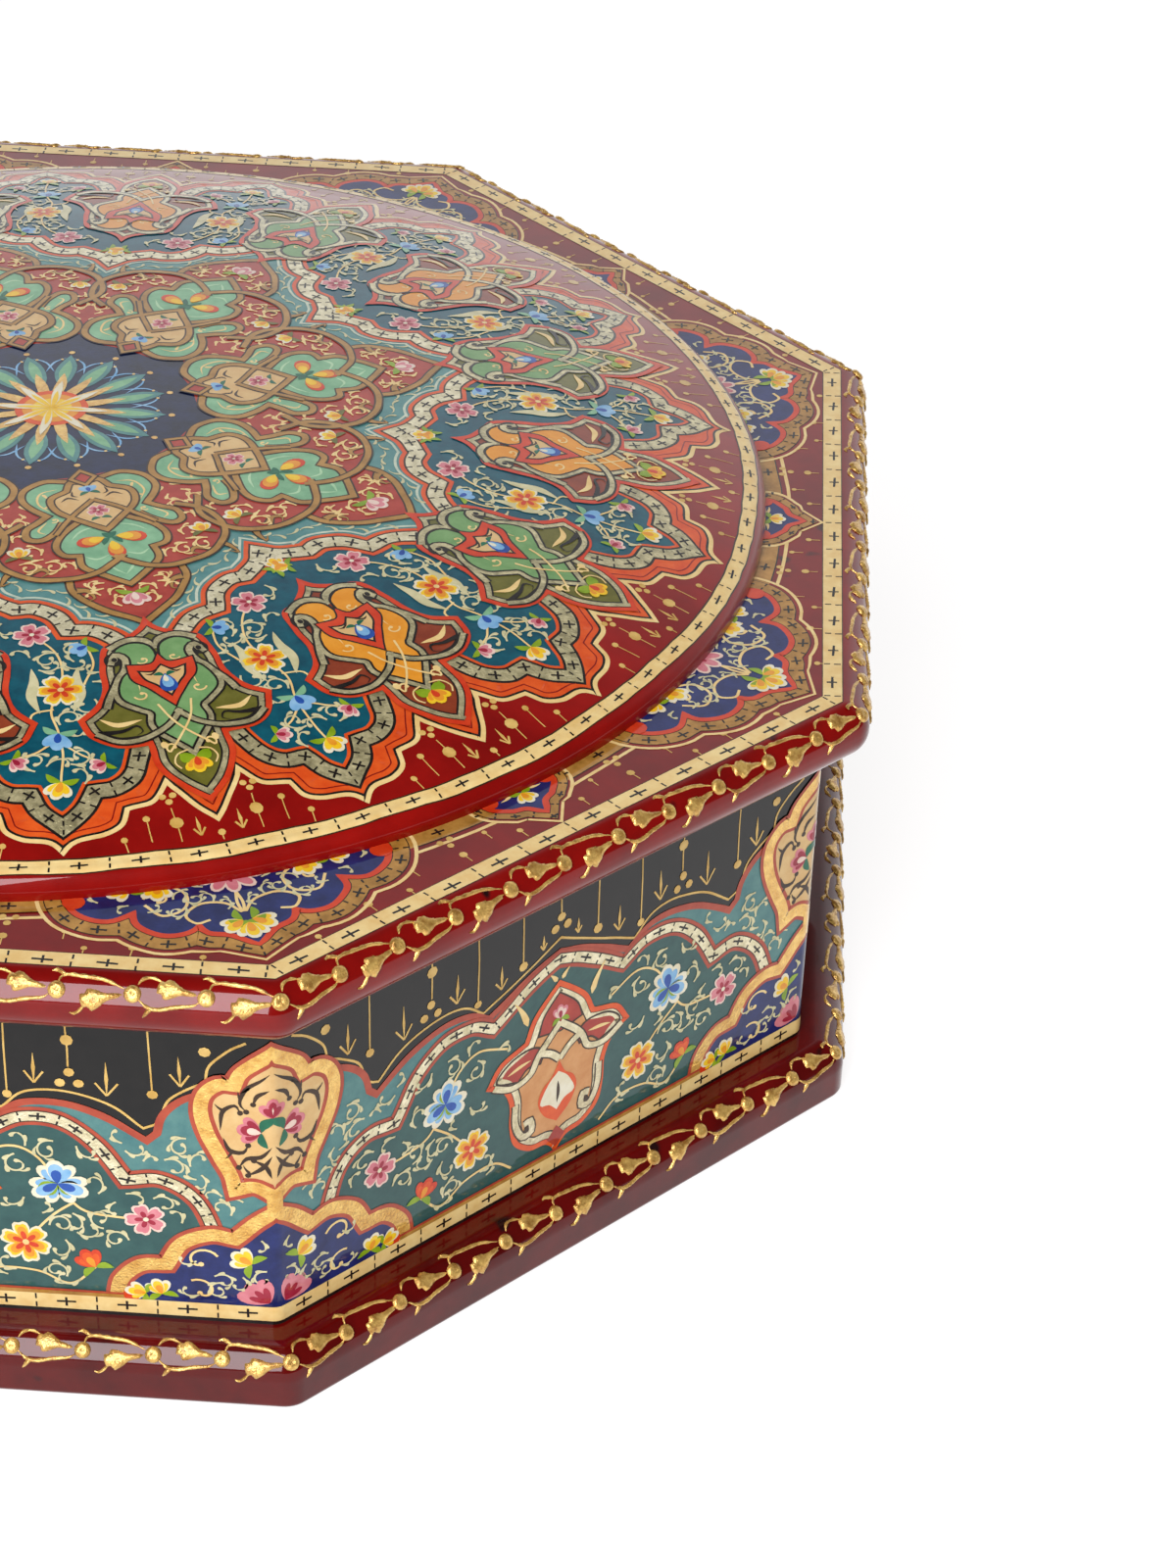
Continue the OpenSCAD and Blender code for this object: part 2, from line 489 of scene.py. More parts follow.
class Canvas:
    """Shapes on one surface, by colour, that are repeated round the box."""

    def __init__(self, name, place, turn=0.0, copies=SIDES, spacing=2.4, folds=()):
        self.name, self.place, self.turn, self.copies = name, place, turn, copies
        self.spacing, self.folds = spacing, folds
        self.shapes = {}
        self.count = 0
        self.twins = False

    def add(self, colour, points, faces, level):
        """One shape, and its mirror image while twins is set. Their heights differ a little, so that
        shapes of one level that cross don't lie in the same plane."""
        sets = [np.asarray(points)]
        if self.twins:
            sets.append(sets[0] * (-1, 1))
        for points in sets:
            self.count += 1
            self.shapes.setdefault(colour, []).append((points, faces, level + self.count % 7 / 14))

    def fill(self, colour, outline, level):
        """A closed shape, cut into triangles."""
        outline = np.asarray(outline, float)
        low, high = outline.min(0), outline.max(0)
        inner = np.zeros((0, 2))
        if (high - low).min() > self.spacing:
            xs = np.arange(low[0] + self.spacing / 2, high[0], self.spacing)
            ys = np.arange(low[1] + self.spacing / 2, high[1], self.spacing)
            inner = np.stack(np.meshgrid(xs, ys), -1).reshape(-1, 2)
            inner = inner[inside(inner, outline) & (nearest(inner, outline) > self.spacing * 0.3)]
        points = np.vstack([outline, inner])
        edges = []
        for x in self.folds:
            if low[0] < x < high[0]:
                edges.append((len(points), len(points) + 1))
                points = np.vstack([points, [[x, low[1] - 1], [x, high[1] + 1]]])
        vectors = [Vector(p) for p in points]
        found = delaunay_2d_cdt(vectors, edges, [list(range(len(outline)))], 0, 1e-5, False)
        points = np.array([tuple(v) for v in found[0]])
        faces = np.array([tuple(f) for f in found[2]])
        kept = faces[inside(points[faces].mean(1), outline)]
        used, kept = np.unique(kept, return_inverse=True)
        self.add(colour, points[used], kept.reshape(-1, 3).tolist(), level)

    def strip(self, colour, left, right, level, closed=False):
        """A strip between two lines with as many points."""
        count = len(left)
        steps = range(count if closed else count - 1)
        points = np.vstack([left, right])
        faces = []
        for i in steps:
            a, b, c, d = i, (i + 1) % count, (i + 1) % count + count, i + count
            if turns(points[[a, b, c]]) * turns(points[[a, c, d]]) > 0:
                faces.append((a, b, c, d))
            else:
                faces += [(a, b, c), (a, c, d)]
        self.add(colour, points, faces, level)

    def band(self, colour, line, start, end, level, closed=True):
        """A strip between two distances from a line, to its left, or inwards if it is closed."""
        self.strip(colour, beside(line, start, closed), beside(line, end, closed), level, closed)

    def brush(self, colour, line, width, level, shape="even"):
        """One brush line, given by its points or as a text. Its width follows the named shape."""
        line = drawn(line) if isinstance(line, str) else line
        length = along(line)
        half = (width / 2 * BRUSH_SHAPES[shape](length / length[-1]))[:, None]
        side = normals_of(line, False)
        self.strip(colour, line + side * half, line - side * half, level)

    def dot(self, colour, at, radius, level, wide=1.0):
        """A round touch of the brush."""
        ring = round_line(radius, at, wide)
        self.add(colour, ring, [tuple(range(len(ring)))], level)


def turns(corners):
    """Positive where three corners run anticlockwise."""
    (ax, ay), (bx, by), (cx, cy) = corners
    return (bx - ax) * (cy - ay) - (by - ay) * (cx - ax)


def inside(points, outline):
    """Which points lie inside a closed outline."""
    x, y = points[:, 0, None], points[:, 1, None]
    x1, y1 = outline[:, 0], outline[:, 1]
    x2, y2 = np.roll(x1, -1), np.roll(y1, -1)
    crosses = (y1 > y) != (y2 > y)
    slope = (x2 - x1) / np.where(y2 == y1, 1e-12, y2 - y1)
    return (crosses & (x < x1 + (y - y1) * slope)).sum(1) % 2 == 1


def nearest(points, outline):
    """Distance from each point to the nearest point of an outline."""
    return np.sqrt(((points[:, None] - outline[None]) ** 2).sum(2)).min(1)


# %% [markdown]
# Where a shape lies on the box: the medallion's dome, the lid's flat, or a wall with its rounded
# corners. On the lid a point is (x, distance outwards), and on a wall it is (x, height).

# %% Surfaces
CORNER_R = 1.8
ROUND_FROM = HALF_WALL - CORNER_R * math.tan(HALF_TURN)


def disc_profile(r):
    """Height of the medallion's surface at radius r."""
    dome = SHOULDER_TOP + DOME_RISE * (1 - np.clip(r / DOME_R, 0, 1) ** DOME_POWER)
    past = np.clip(r - DOME_R, 0, SHOULDER_R)
    return dome - SHOULDER_R + np.sqrt(SHOULDER_R**2 - past**2) - SKIN


def corner_turn(x):
    """How far a wall's rounded corner has turned at x."""
    return np.clip((np.abs(x) - ROUND_FROM) / (HALF_WALL - ROUND_FROM), 0, 1) * HALF_TURN


def on_disc(points, lift):
    """Points on the medallion."""
    r = np.linalg.norm(points, axis=1)
    return np.stack([points[:, 0], -points[:, 1], disc_profile(r) + lift], 1)


def on_lid(points, lift):
    """Points on the lid's flat border."""
    return np.stack([points[:, 0], -points[:, 1], np.full(len(points), LID_TOP + lift)], 1)


def on_wall(points, lift):
    """Points on the front wall."""
    x, height = points[:, 0], points[:, 1]
    angle = corner_turn(x)
    radius = CORNER_R + lift
    out = WALL_APOTHEM - CORNER_R + radius * np.cos(angle)
    aside = np.minimum(np.abs(x), ROUND_FROM) + radius * np.sin(angle)
    return np.stack([np.sign(x) * aside, -out, height], 1)


# %% [markdown]
# The small motifs of this kind of painting: blossoms, tulip buds, comma leaves and curled tendrils.
# Each petal is laid in three tones, dark into light, as a brush loads them.

# %% Small motifs
YELLOW_BLOSSOM = ("ivory", "yellow", "orange", "scarlet", "cream")
PINK_BLOSSOM = ("blush", "rose", "rose", "crimson", "ivory")
FIRE_TULIP = ("ivory", "yellow", "orange", "leaf_green")
ROSE_TULIP = ("blush", "rose", "crimson", "leaf_green")


def blossom(c, at, radius, petals, turn, colours, level):
    """An open flower: petals in four tones round a pale eye."""
    rim, body, blush, heart, eye = colours
    width = radius * 4.5 / (petals + 1.4)
    tones = ((rim, 1.06, 1.06, 0), (body, 0.93, 0.8, 1), (blush, 0.72, 0.62, 2), (heart, 0.5, 0.34, 3))
    for k in range(petals):
        angle = turn + TURN * k / petals
        for colour, length, share, rise in tones:
            shape = petal(radius * length, width * share, 0.15 if rise < 2 else 0)
            c.fill(colour, moved(shape, at, angle), level + rise)
    c.dot(eye, at, radius * 0.13, level + 4)


def tulip(c, at, size, turn, colours, level):
    """A bud with an open collar of outer petals and two small leaves."""
    rim, body, heart, green = colours
    for lean in (-0.62, 0.62):
        c.fill(rim, moved(petal(size, size * 0.5), at, turn + lean), level)
        c.fill(body, moved(petal(size * 0.78, size * 0.34), at, turn + lean), level + 1)
    c.fill(rim, moved(petal(size * 1.08, size * 0.62), at, turn), level + 1)
    c.fill(body, moved(petal(size * 0.9, size * 0.5), at, turn), level + 2)
    c.fill(heart, moved(petal(size * 0.62, size * 0.34), at, turn), level + 3)
    for side in (-1, 1):
        green_leaf = leaf(size * 0.85, size * 0.36, 0.15 * side)
        c.fill(green, moved(green_leaf, at, turn + 2.0 * side), level + 1)


def edged(c, colour, outline, edge, start, end, level):
    """A closed shape with a line along its edge."""
    c.fill(colour, outline, level)
    c.band(edge, outline, start, end, level + 1)


def two_tone(c, line, outer, inner, level, shape="even"):
    """A brush line on a wider one. Both are given as (colour, width)."""
    c.brush(outer[0], line, outer[1], level, shape)
    c.brush(inner[0], line, inner[1], level + 1, shape)


def comma(c, colour, at, length, turn, bend, level, width=None):
    """One comma-shaped touch of the brush, fat where it starts."""
    t = np.linspace(0, 1, 7)
    line = np.stack([bend * length * t**2, length * t], 1)
    c.brush(colour, moved(line, at, turn), width or length * 0.34, level, "comma")


def curl(c, colour, at, size, turn, hand, level, width=0.28):
    """A tendril that rolls up into a small blob."""
    t = np.linspace(0, 1, 16)
    angle = hand * t * 4.4
    radius = size * (1 - 0.78 * t)
    line = np.stack([radius * np.cos(angle), radius * np.sin(angle)], 1) - (size, 0)
    line = moved(line, at, turn)
    c.brush(colour, line, width, level, "even")
    c.dot(colour, line[-1], width * 1.1, level)


def bud_leaf(c, colour, at, heading, length, bend, width, level):
    """A small curved leaf, thin where it leaves its stem and fat at its end."""
    steps = heading + bend * np.linspace(0, 1, 8)
    hops = length / 7 * np.stack([np.cos(steps), np.sin(steps)], 1)
    c.brush(colour, np.vstack([[at], at + np.cumsum(hops[1:], axis=0)]), width, level, "bud")


FAR_OFF = (1e3, 1e3, 0)


def foliage(c, outline, spacing, taken, seed, level, colour="frond", size=1.9):
    """Thin tendrils that roll up, with fat leaves on their outer side, wherever there is room."""
    rng = np.random.default_rng(seed)
    low, high = outline.min(0), outline.max(0)
    tries = rng.uniform(low, high, (1100, 2))
    tries = tries[inside(tries, outline) & (nearest(tries, outline) > 0.6)]
    placed = np.array(taken) if len(taken) else np.array([FAR_OFF])

    def free(at, room):
        clear = np.hypot(placed[:, 0] - at[0], placed[:, 1] - at[1]) > placed[:, 2] + room
        at = np.array([at])
        return clear.all() and inside(at, outline)[0] and nearest(at, outline)[0] > 0.45

    sprays = 0
    for number, start in enumerate(tries):
        if not free(start, spacing * 0.36):
            continue
        heading = rng.uniform(0, TURN)
        hand = rng.choice((-1, 1))
        at, path, ways = start, [start], [heading]
        for k in range(12):
            heading += hand * (0.2 + 0.03 * k)
            at = at + 0.22 * size * np.array([math.cos(heading), math.sin(heading)])
            if not free(at, spacing * 0.3):
                break
            path.append(at)
            ways.append(heading)
        if len(path) < (7 if number < len(tries) / 3 else 4):
            continue
        path = np.array(path)
        c.brush(colour, smooth_run(path, 0.3), 0.24, level)
        bud_leaf(c, colour, path[-1], ways[-1] + 0.3 * hand, size * 0.62, 1.6 * hand, size * 0.44, level)
        for k in range(1, len(path) - 1, 4):
            length = size * rng.uniform(0.6, 0.85)
            bud_leaf(c, colour, path[k], ways[k] - 0.6 * hand, length, 1.5 * hand, size * 0.38, level)
        placed = np.vstack([placed, np.hstack([path, np.full((len(path), 1), spacing * 0.2)])])
        sprays += 1
    return sprays


def crosses(c, colour, line, pitch, width, level, closed=False, bar=0.95):
    """Black crosses along a band of some width, with a broken tick between each two."""
    path = np.vstack([line, line[:1]]) if closed else line
    path = path[np.concatenate([[True], np.linalg.norm(np.diff(path, axis=0), axis=1) > 0.05])]
    length = along(path)
    count = max(1, round(length[-1] / pitch))
    for k in range(2 * count - (0 if closed else 1)):
        reach = (k + 1) * length[-1] / (2 * count)
        before, at, after = (point_at(path, length, reach + step) for step in (-0.7, 0, 0.7))
        way = (after - before) / np.linalg.norm(after - before)
        out = np.array([-way[1], way[0]])
        if k % 2 == 0:
            c.brush(colour, np.array([at - way * bar, at + way * bar * 0.9]), 0.26, level)
            tilt = way * 0.08 * (k % 3)
            post = np.array([at - out * width * 0.38, at + out * width * 0.38 + tilt])
            c.brush(colour, post, 0.28, level)
        else:
            for near, far in ((-0.5, -0.14), (0.14, 0.5)):
                tick = np.array([at + out * width * near, at + out * width * far])
                c.brush(colour, tick, 0.22, level)


# %% [markdown]
# The medallion. Its rim is red with fine gold drops. Inside lies a ring of eight teal cartouches, and
# sixteen palmettes stand round it, ochre ones on the teal and green ones between. Further in come a
# turquoise field with eight red palmettes, and the centre.

# %% Medallion: the sixteen-cusped edge and the fields
PAIRS = 2 * SIDES
HALF_PAIR = TURN / PAIRS / 2

medallion = Canvas("medallion", on_disc, copies=1)
by_side = Canvas("medallion_sides", on_disc)
by_corner = Canvas("medallion_corners", on_disc, turn=HALF_TURN)
by_tip = Canvas("medallion_tips", on_disc, turn=HALF_PAIR, copies=PAIRS)


def turned(line, angle):
    """Points on the disc, turned about its middle. Its points are (x, distance outwards)."""
    c, s = math.cos(angle), math.sin(angle)
    return np.stack([line[:, 0] * c + line[:, 1] * s, -line[:, 0] * s + line[:, 1] * c], 1)


def all_round(half, copies):
    """A closed line from one half of its repeat, which runs from a symmetry line to the next."""
    repeat = TURN / copies
    wedge = np.vstack([half, turned(flipped(half), repeat)[1:]])
    parts = [turned(wedge, k * repeat)[:-1] for k in range(copies)]
    closed = np.vstack(parts)
    return closed[np.linalg.norm(closed - np.roll(closed, 1, 0), axis=1) > 1e-6]


palmette_edge = drawn("0 84.6, 1.9 82.2, 4.2 78.4")
tip_half = "-11.2 77.6, -9.8 80.2, -7 81.2 / -6.3 83.4, -4.4 84.7, -1.5 85.3, 0 87"
tip_edge = turned(drawn(tip_half), HALF_PAIR)
sixteen_cusps = all_round(np.vstack([palmette_edge[:-1], tip_edge]), PAIRS)
medallion.fill("teal", sixteen_cusps, 1)
medallion.band("cream", sixteen_cusps, 0, 0.6, 2)
medallion.band("black", sixteen_cusps, 0.56, 0.86, 3)
medallion.band("vermilion", sixteen_cusps, 0.8, 3.3, 2)
medallion.band("maroon", sixteen_cusps, 1.5, 1.66, 3)

tip_line = drawn("-8.9 71.2, -7.9 75.6, -5.9 77.8, -3.4 78.3 / -2.2 80.9, 0 83.1")
by_tip.twins = True
by_tip.band("vermilion", tip_line[tip_line[:, 1] < 77.0], 1.6, 2.9, 2, closed=False)
by_tip.twins = False
tip_line = mirrored(tip_line)
by_tip.band("vermilion", tip_line, -1.65, 1.65, 3, closed=False)
by_tip.band("black", tip_line, -1.25, 1.25, 4, closed=False)
by_tip.band("silver_leaf", tip_line, -0.92, 0.92, 5, closed=False)
crosses(by_tip, "black", tip_line, 4.0, 1.9, 6, bar=0.8)

arch_half = drawn(
    "0 43.1, 1.6 44.9, 4.7 46.5 / 6.9 46.1, 9.5 47.3, 11.4 49.8 / 14.2 49.7, 17.2 51.2, 19.6 53.7, "
    "21.9 53"
)
arches = all_round(arch_half, SIDES)
medallion.fill("turquoise", arches, 2)
medallion.band("vermilion", arches, -1.75, 1.75, 4)
medallion.band("umber", arches, -1.2, 1.2, 5)
medallion.band("pale_leaf", arches, -0.95, 0.95, 6)
medallion.band("ice", arches, 2.05, 2.4, 5)
crosses(medallion, "black", arches, 4.2, 2.0, 7, closed=True, bar=0.85)
print("medallion edge", len(sixteen_cusps), "points, arches", len(arches))

# %% [markdown]
# A palmette is built like the real brushwork: a scarlet silhouette, silver bands with black edges,
# then coloured lobes, a trefoil with a blue bud in the middle, and a pointed leaf below.

# %% Medallion: sixteen palmettes
def palmette(c, wing, body, level=8):
    """One palmette, from its inner tip at 50 mm to its outer tip at 82 mm."""
    edge = full(
        "0 50.2, 1.1 52.3, 3.3 53.9 / 5.7 55.1, 6.7 58.6, 7.1 61.8, 8.5 64.6, 11.1 66.5 / 10.3 69.6, "
        "8 71.7, 4.6 72.2 / 4.5 75.6, 2.8 79, 0 81.9"
    )
    c.fill(wing, edge, level)
    c.band("black", edge, 0.5, 1.7, level + 1)
    c.band("scarlet", edge, 0, 0.7, level + 2)
    c.band("silver_leaf", edge, 0.86, 1.46, level + 2)
    c.twins = True
    shoulder = "0.2 56.6, 0.8 54.9, 2.8 54.3, 5 55.4"
    two_tone(c, shoulder, ("black", 1.3), ("silver_leaf", 0.78), level + 2)
    lobe = drawn("0.2 58.3, 0.7 56, 2.6 55, 4.5 56.1, 4.3 58.5, 3 59.6, 1.4 59.5, 0.2 58.3")[:-1]
    edged(c, body, lobe, "black", -0.28, 0.05, level + 3)
    curl(c, "cream", (2.4, 58.6), 0.75, 0.4, 1, level + 4, 0.2)
    c.dot("black", (5.0, 57.5), 1.2, level + 4, 0.85)
    c.dot("silver_leaf", (4.95, 57.4), 0.62, level + 5, 0.85)
    c.dot("black", (4.85, 57.5), 0.4, level + 6, 0.85)
    scroll = "5.4 58.3, 4.6 56.7, 3.7 57.6, 4 59.4, 5.3 61.4, 6.6 63.6, 7.4 65.4"
    two_tone(c, scroll, ("black", 1.3), ("silver_leaf", 0.74), level + 4)
    c.twins = False
    heart = full("0 60.2, 3.6 60, 5.2 62, 5.4 64.4, 3.6 66.4 / 2.7 67.4, 2.8 69.8, 0 73.9")
    c.band("silver_leaf", heart, -0.72, 0, level + 5)
    c.band("black", heart, -0.98, -0.68, level + 5)
    edged(c, body, heart, "black", -0.15, 0.12, level + 5)
    c.twins = True
    lower = "9.6 69.2, 7.6 70.9, 4.6 71.1, 1.8 69.9, -0.3 67.6"
    two_tone(c, lower, ("black", 1.15), ("silver_leaf", 0.62), level + 6)
    c.brush("black", "8.9 69.3, 6.6 69.4, 5 69, 4.5 70, 5.3 70.4", 0.75, level + 6, "tail")
    c.brush("cream", "8.7 66.9, 6.9 68.3, 4.2 68.2", 0.75, level + 5, "leaf")
    curl(c, "cream", (4.1, 64.4), 0.95, 0.2, 1, level + 7, 0.22)
    comma(c, "cream", (3.4, 61.3), 2.2, 0.35, 0.3, level + 7, 0.32)
    c.brush("cream", "1.9 66.2, 1.2 68.6, -0.5 71.5, -2.6 73.9", 0.26, level + 8)
    curl(c, "cream", (-2.6, 73.9), 0.85, 2.2, 1, level + 8, 0.24)
    c.dot("cream", (2.9, 72.7), 0.55, level + 8, 0.8)
    c.twins = False
    trefoil = full("0 57.7, 1 59.3, 3.7 58.9 / 3.6 61.6, 2 63.6, 0 66.9")
    c.band("black", trefoil, -0.22, 0.1, level + 7)
    c.fill("scarlet", trefoil, level + 7)
    heart_of_it = full("0 59.7, 1.1 60.7, 2.7 60.2 / 2.3 61.9, 1.2 63.2, 0 65.2")
    edged(c, "beige", heart_of_it, "black", -0.12, 0.14, level + 8)
    c.fill("cobalt", moved(petal(3.1, 2.0), (0, 61.4)), level + 9)
    c.fill("sky", moved(petal(2.2, 1.3), (0, 61.6)), level + 10)
    c.fill("ivory", moved(petal(1.1, 0.6), (-0.1, 61.7)), level + 11)
    c.twins = True
    c.fill("fir_green", moved(leaf(1.3, 0.6, 0.2), (0.1, 61.8), -1.9), level + 10)
    c.brush("umber", "0.6 60.6, 1.5 61.2, 2.1 60.9", 0.3, level + 9, "leaf")
    c.fill("leaf_green", moved(petal(1.7, 1.5), (0.1, 75.0), -1.45), level + 8)
    c.brush("cream", "0.6 74, 1.9 74.4, 2.4 75.6, 1.9 76.6", 0.2, level + 8)
    c.twins = False
    tulip(c, (0, 75.2), 2.3, 0, ("yellow", "orange", "scarlet", "leaf_green"), level + 8)


palmette(by_side, "rust", "orange")
palmette(by_corner, "olive", "sage")

# %% [markdown]
# The teal cartouches between the palmettes carry blossoms on thin stems, and comma leaves fill what
# is left.

# %% Medallion: flowers on the teal
by_side.twins = True
blossom(by_side, (12.6, 60.7), 2.9, 6, 0.3, YELLOW_BLOSSOM, 8)
blossom(by_side, (7.6, 51.2), 2.3, 5, 0.2, PINK_BLOSSOM, 8)
tulip(by_side, (14.1, 52.6), 2.0, 0.9, ("sky", "sky", "cobalt", "leaf_green"), 8)
tulip(by_side, (13.6, 67.9), 2.5, 0.0, ("sky", "sky", "cobalt", "mint"), 8)
tulip(by_side, (9.2, 72.4), 1.9, -0.9, ROSE_TULIP, 8)
tulip(by_side, (19.2, 71.7), 1.8, 0.9, ROSE_TULIP, 8)
tulip(by_side, (14.9, 75.2), 2.4, 0.1, FIRE_TULIP, 8)
for stem in (
    "7.6 51.2, 10.4 53.6, 12.2 57, 12.6 60.7",
    "12.6 60.7, 12.2 64.6, 13.6 67.9, 14.6 72, 14.9 75.2",
    "14.1 52.6, 15.4 56, 15 59.4",
    "9.2 72.4, 11.4 71.2, 13.6 69.4, 16.6 71, 19.2 71.7",
    "12.4 64, 10.2 65.2, 10.6 67.6",
):
    by_side.brush("cream", stem, 0.26, 7)
broad_leaf = drawn("8.8 57.4, 9.5 59.8, 9.7 62.4, 11 64.9")
by_side.brush("frond", broad_leaf, 1.25, 8, "leaf")
by_side.brush("frond", turned(flipped(broad_leaf), HALF_TURN), 1.25, 8, "leaf")
by_side.twins = False
tulip(by_side, (0, 47.2), 2.0, math.pi, FIRE_TULIP, 8)
by_side.twins = True
tulip(by_side, (1.0, 47.6), 1.9, 2.0, FIRE_TULIP, 8)
teal_half = drawn(
    "1.2 46, 4.4 48.2 / 7 47.8, 9.2 49.2, 11 51.4 / 14 51.2, 17.2 53, 18.6 56, 17.6 60, 18.4 64, "
    "16.4 68.6 / 20.6 70.6, 22.4 70.4, 20.6 73.6, 18.2 74.8 / 17 78, 15.6 79.6, 13.4 76.2 / 9.6 75.4, "
    "7 72.8 / 11 70.2, 11.6 66.2 / 8.4 62, 7.2 56, 4.2 53.2, 0.8 50"
)
teal_taken = points_in(
    "12.6 60.7 3.1, 7.6 51.2 2.5, 14.6 53.8 1.6, 13.6 69.2 2, 8.6 73.2 1.4,"
    "19.6 72.4 1.3, 14.9 76.4 1.8, 0 48 2.2, 9.6 60 0.8, 10 63 0.8"
)
print("leaves on teal", foliage(by_side, teal_half, 1.45, teal_taken, 5, 8, size=1.9))
by_side.twins = False

# %% [markdown]
# Eight red palmettes with antique gold bands stand in the turquoise. Their mint cartouches carry three
# loose orange petals, and a small beige cartouche lies over the lower end of each.

# %% Medallion: eight red palmettes
def gilt_band(c, line, width, level, closed=True):
    """An antique gold band with dark edges."""
    c.band("umber", line, -width / 2 - 0.22, width / 2 + 0.22, level, closed)
    c.band("old_gold", line, -width / 2, width / 2, level + 1, closed)


def orange_petal(c, at, length, turn, level):
    """One loose tulip petal in three tones."""
    for colour, share, rise in (("scarlet", 1.0, 0), ("orange", 0.82, 1), ("yellow", 0.56, 2)):
        c.fill(colour, moved(petal(length * share, length * share * 0.6), at, turn), level + rise)


def red_palmette(c, level=7):
    """One red palmette, from the centre's edge at 18 mm to its tip at 52 mm."""
    red = full(
        "0 18.2, 4.5 18, 8.6 20.8 / 9.8 23.7 / 12.4 29.8 / 14.1 32.4, 13.5 36.2, 10.6 39.6, 6.5 40.9"
        " / 6.7 43.4, 4.6 47.2, 0 51.7"
    )
    c.fill("coral", red, level)
    outer = drawn(
        "9.4 27.4, 12.6 29.4, 13.9 32.6, 13.3 36.2, 10.6 39.3, 6.6 40.7, 3.2 40.2, 0.9 38.6, -0.6 37"
    )
    lower = drawn("6.7 40.9, 6.6 43.6, 4.5 47.2, 0 51.4")
    c.twins = True
    gilt_band(c, outer, 0.75, level + 8, closed=False)
    gilt_band(c, lower, 0.75, level + 1, closed=False)
    for scroll in (
        "12.4 37.2, 13.4 38, 14.1 39.6, 13 39.2",
        "10.8 38, 9.2 37.6, 8.6 38.6, 9.6 39.2",
        "6.2 43.2, 5 43.6, 4.6 45.2, 5.4 45.6",
    ):
        two_tone(c, scroll, ("umber", 1.3), ("old_gold", 0.85), level + 3, "tail")
    crown = drawn(
        "0.4 19.6, 2.2 18.9, 4.8 18.3, 7.4 19.6, 8.3 22, 7.6 24.4, 6.2 26.4 / 7.6 27.6, 9.3 28.8, "
        "9.5 30.8, 8 31.6, 6 30.2, 4.4 27.8 / 0.4 27.8"
    )
    c.fill("mint", crown, level + 3)
    gilt_band(c, crown[along(crown) < along(crown)[-1] - 4.0], 0.8, level + 4, closed=False)
    for stem in ("3.6 20.4, 5.8 21, 6.6 23.4, 5.6 25.6", "6.4 27.6, 8 29.4, 7.2 30.4"):
        c.brush("cream", stem, 0.3, level + 4, "leaf")
    comma(c, "cream", (5.6, 21.2), 1.5, 0.6, 0.4, level + 4)
    comma(c, "cream", (6.2, 24.6), 1.4, 2.4, 0.4, level + 4)
    curl(c, "cream", (5.9, 27.9), 0.6, 0.8, 1, level + 4, 0.22)
    c.twins = False
    mint = full("0 26.6, 3 28.8, 5.6 31.2, 6.7 33.6, 6.2 35.6, 4.5 36.2 / 4.5 38.8, 2.4 41.2, 0 43.4")
    c.fill("mint", mint, level + 5)
    gilt_band(c, mint, 0.75, level + 6)
    c.twins = True
    orange_petal(c, (0.7, 32.9), 3.7, -1.3, level + 9)
    c.fill("fir_green", moved(leaf(1.9, 0.8, 0.1), (0.1, 33.0), -0.62), level + 9)
    c.fill("fir_green", moved(leaf(1.6, 0.9, 0.1), (0, 33.2), -2.6), level + 9)
    for vein in ("1 36.6, 2.6 37.4, 4 36.4", "1.2 30, 3.2 30.9, 4.6 32.4", "1.6 38.6, 1 40, 0 41.2"):
        c.brush("pale_mint", vein, 0.34, level + 6, "leaf")
    c.twins = False
    orange_petal(c, (0, 33.9), 3.6, 0, level + 9)
    small = full("0 19.9, 1.7 19.4, 2.7 21.3 / 4.9 22.8, 5 25.4, 3 28.2, 0 31.2")
    c.fill("beige", small, level + 8)
    gilt_band(c, small, 0.75, level + 9)
    c.twins = True
    cross_band = drawn("0 24, 2.6 26.5, 4.4 28.6, 6.2 31")
    gilt_band(c, cross_band, 0.55, level + 9, closed=False)
    c.brush("umber", "1.6 23.8, 2.8 23, 3.9 23.8", 0.34, level + 9, "leaf")
    c.brush("umber", "2 21.4, 2.2 22.6, 1.5 23", 0.3, level + 9, "leaf")
    c.fill("fir_green", moved(leaf(1.4, 0.6, 0.2), (0, 28.4), -1.3), level + 9)
    tulip(c, (11.2, 34.4), 2.1, 3.0, ("ivory", "yellow", "orange", "olive"), level + 5)
    lobe = drawn(
        "8.9 29, 11.6 29.8, 13.2 33.2, 12.6 36.4, 9.6 39, 5.6 39.8, 4.6 38.6, 5.4 36.8, 7.6 36"
        " / 7.6 33, 6.8 31.4, 8.9 32.4, 10.2 30.8, 8.9 29"
    )
    foliage(c, lobe, 1.5, [(11.1, 33.4, 1.4)], 11, level + 5, "cream", 1.7)
    tip = drawn("0.4 43.9, 2.6 42, 6 41.4, 5.6 43.8, 3.6 46.8, 0.3 49.8")
    foliage(c, tip, 1.4, [(0, 46.4, 1.7)], 12, level + 5, "cream", 1.6)
    c.twins = False
    tulip(c, (0, 22.2), 1.7, math.pi, ("sky", "sky", "cobalt", "fir_green"), level + 9)
    blossom(c, (0, 26.7), 1.5, 5, 0, PINK_BLOSSOM, level + 9)
    c.fill("coral", full("0 17.2, 1.3 18.7 / 0 20.3"), level + 10)
    gilt_band(c, full("0 17, 1.5 18.7 / 0 20.5"), 0.45, level + 11)
    tulip(c, (0, 45.2), 2.6, 0, ("blush", "rose", "blush", "leaf_green"), level + 5)


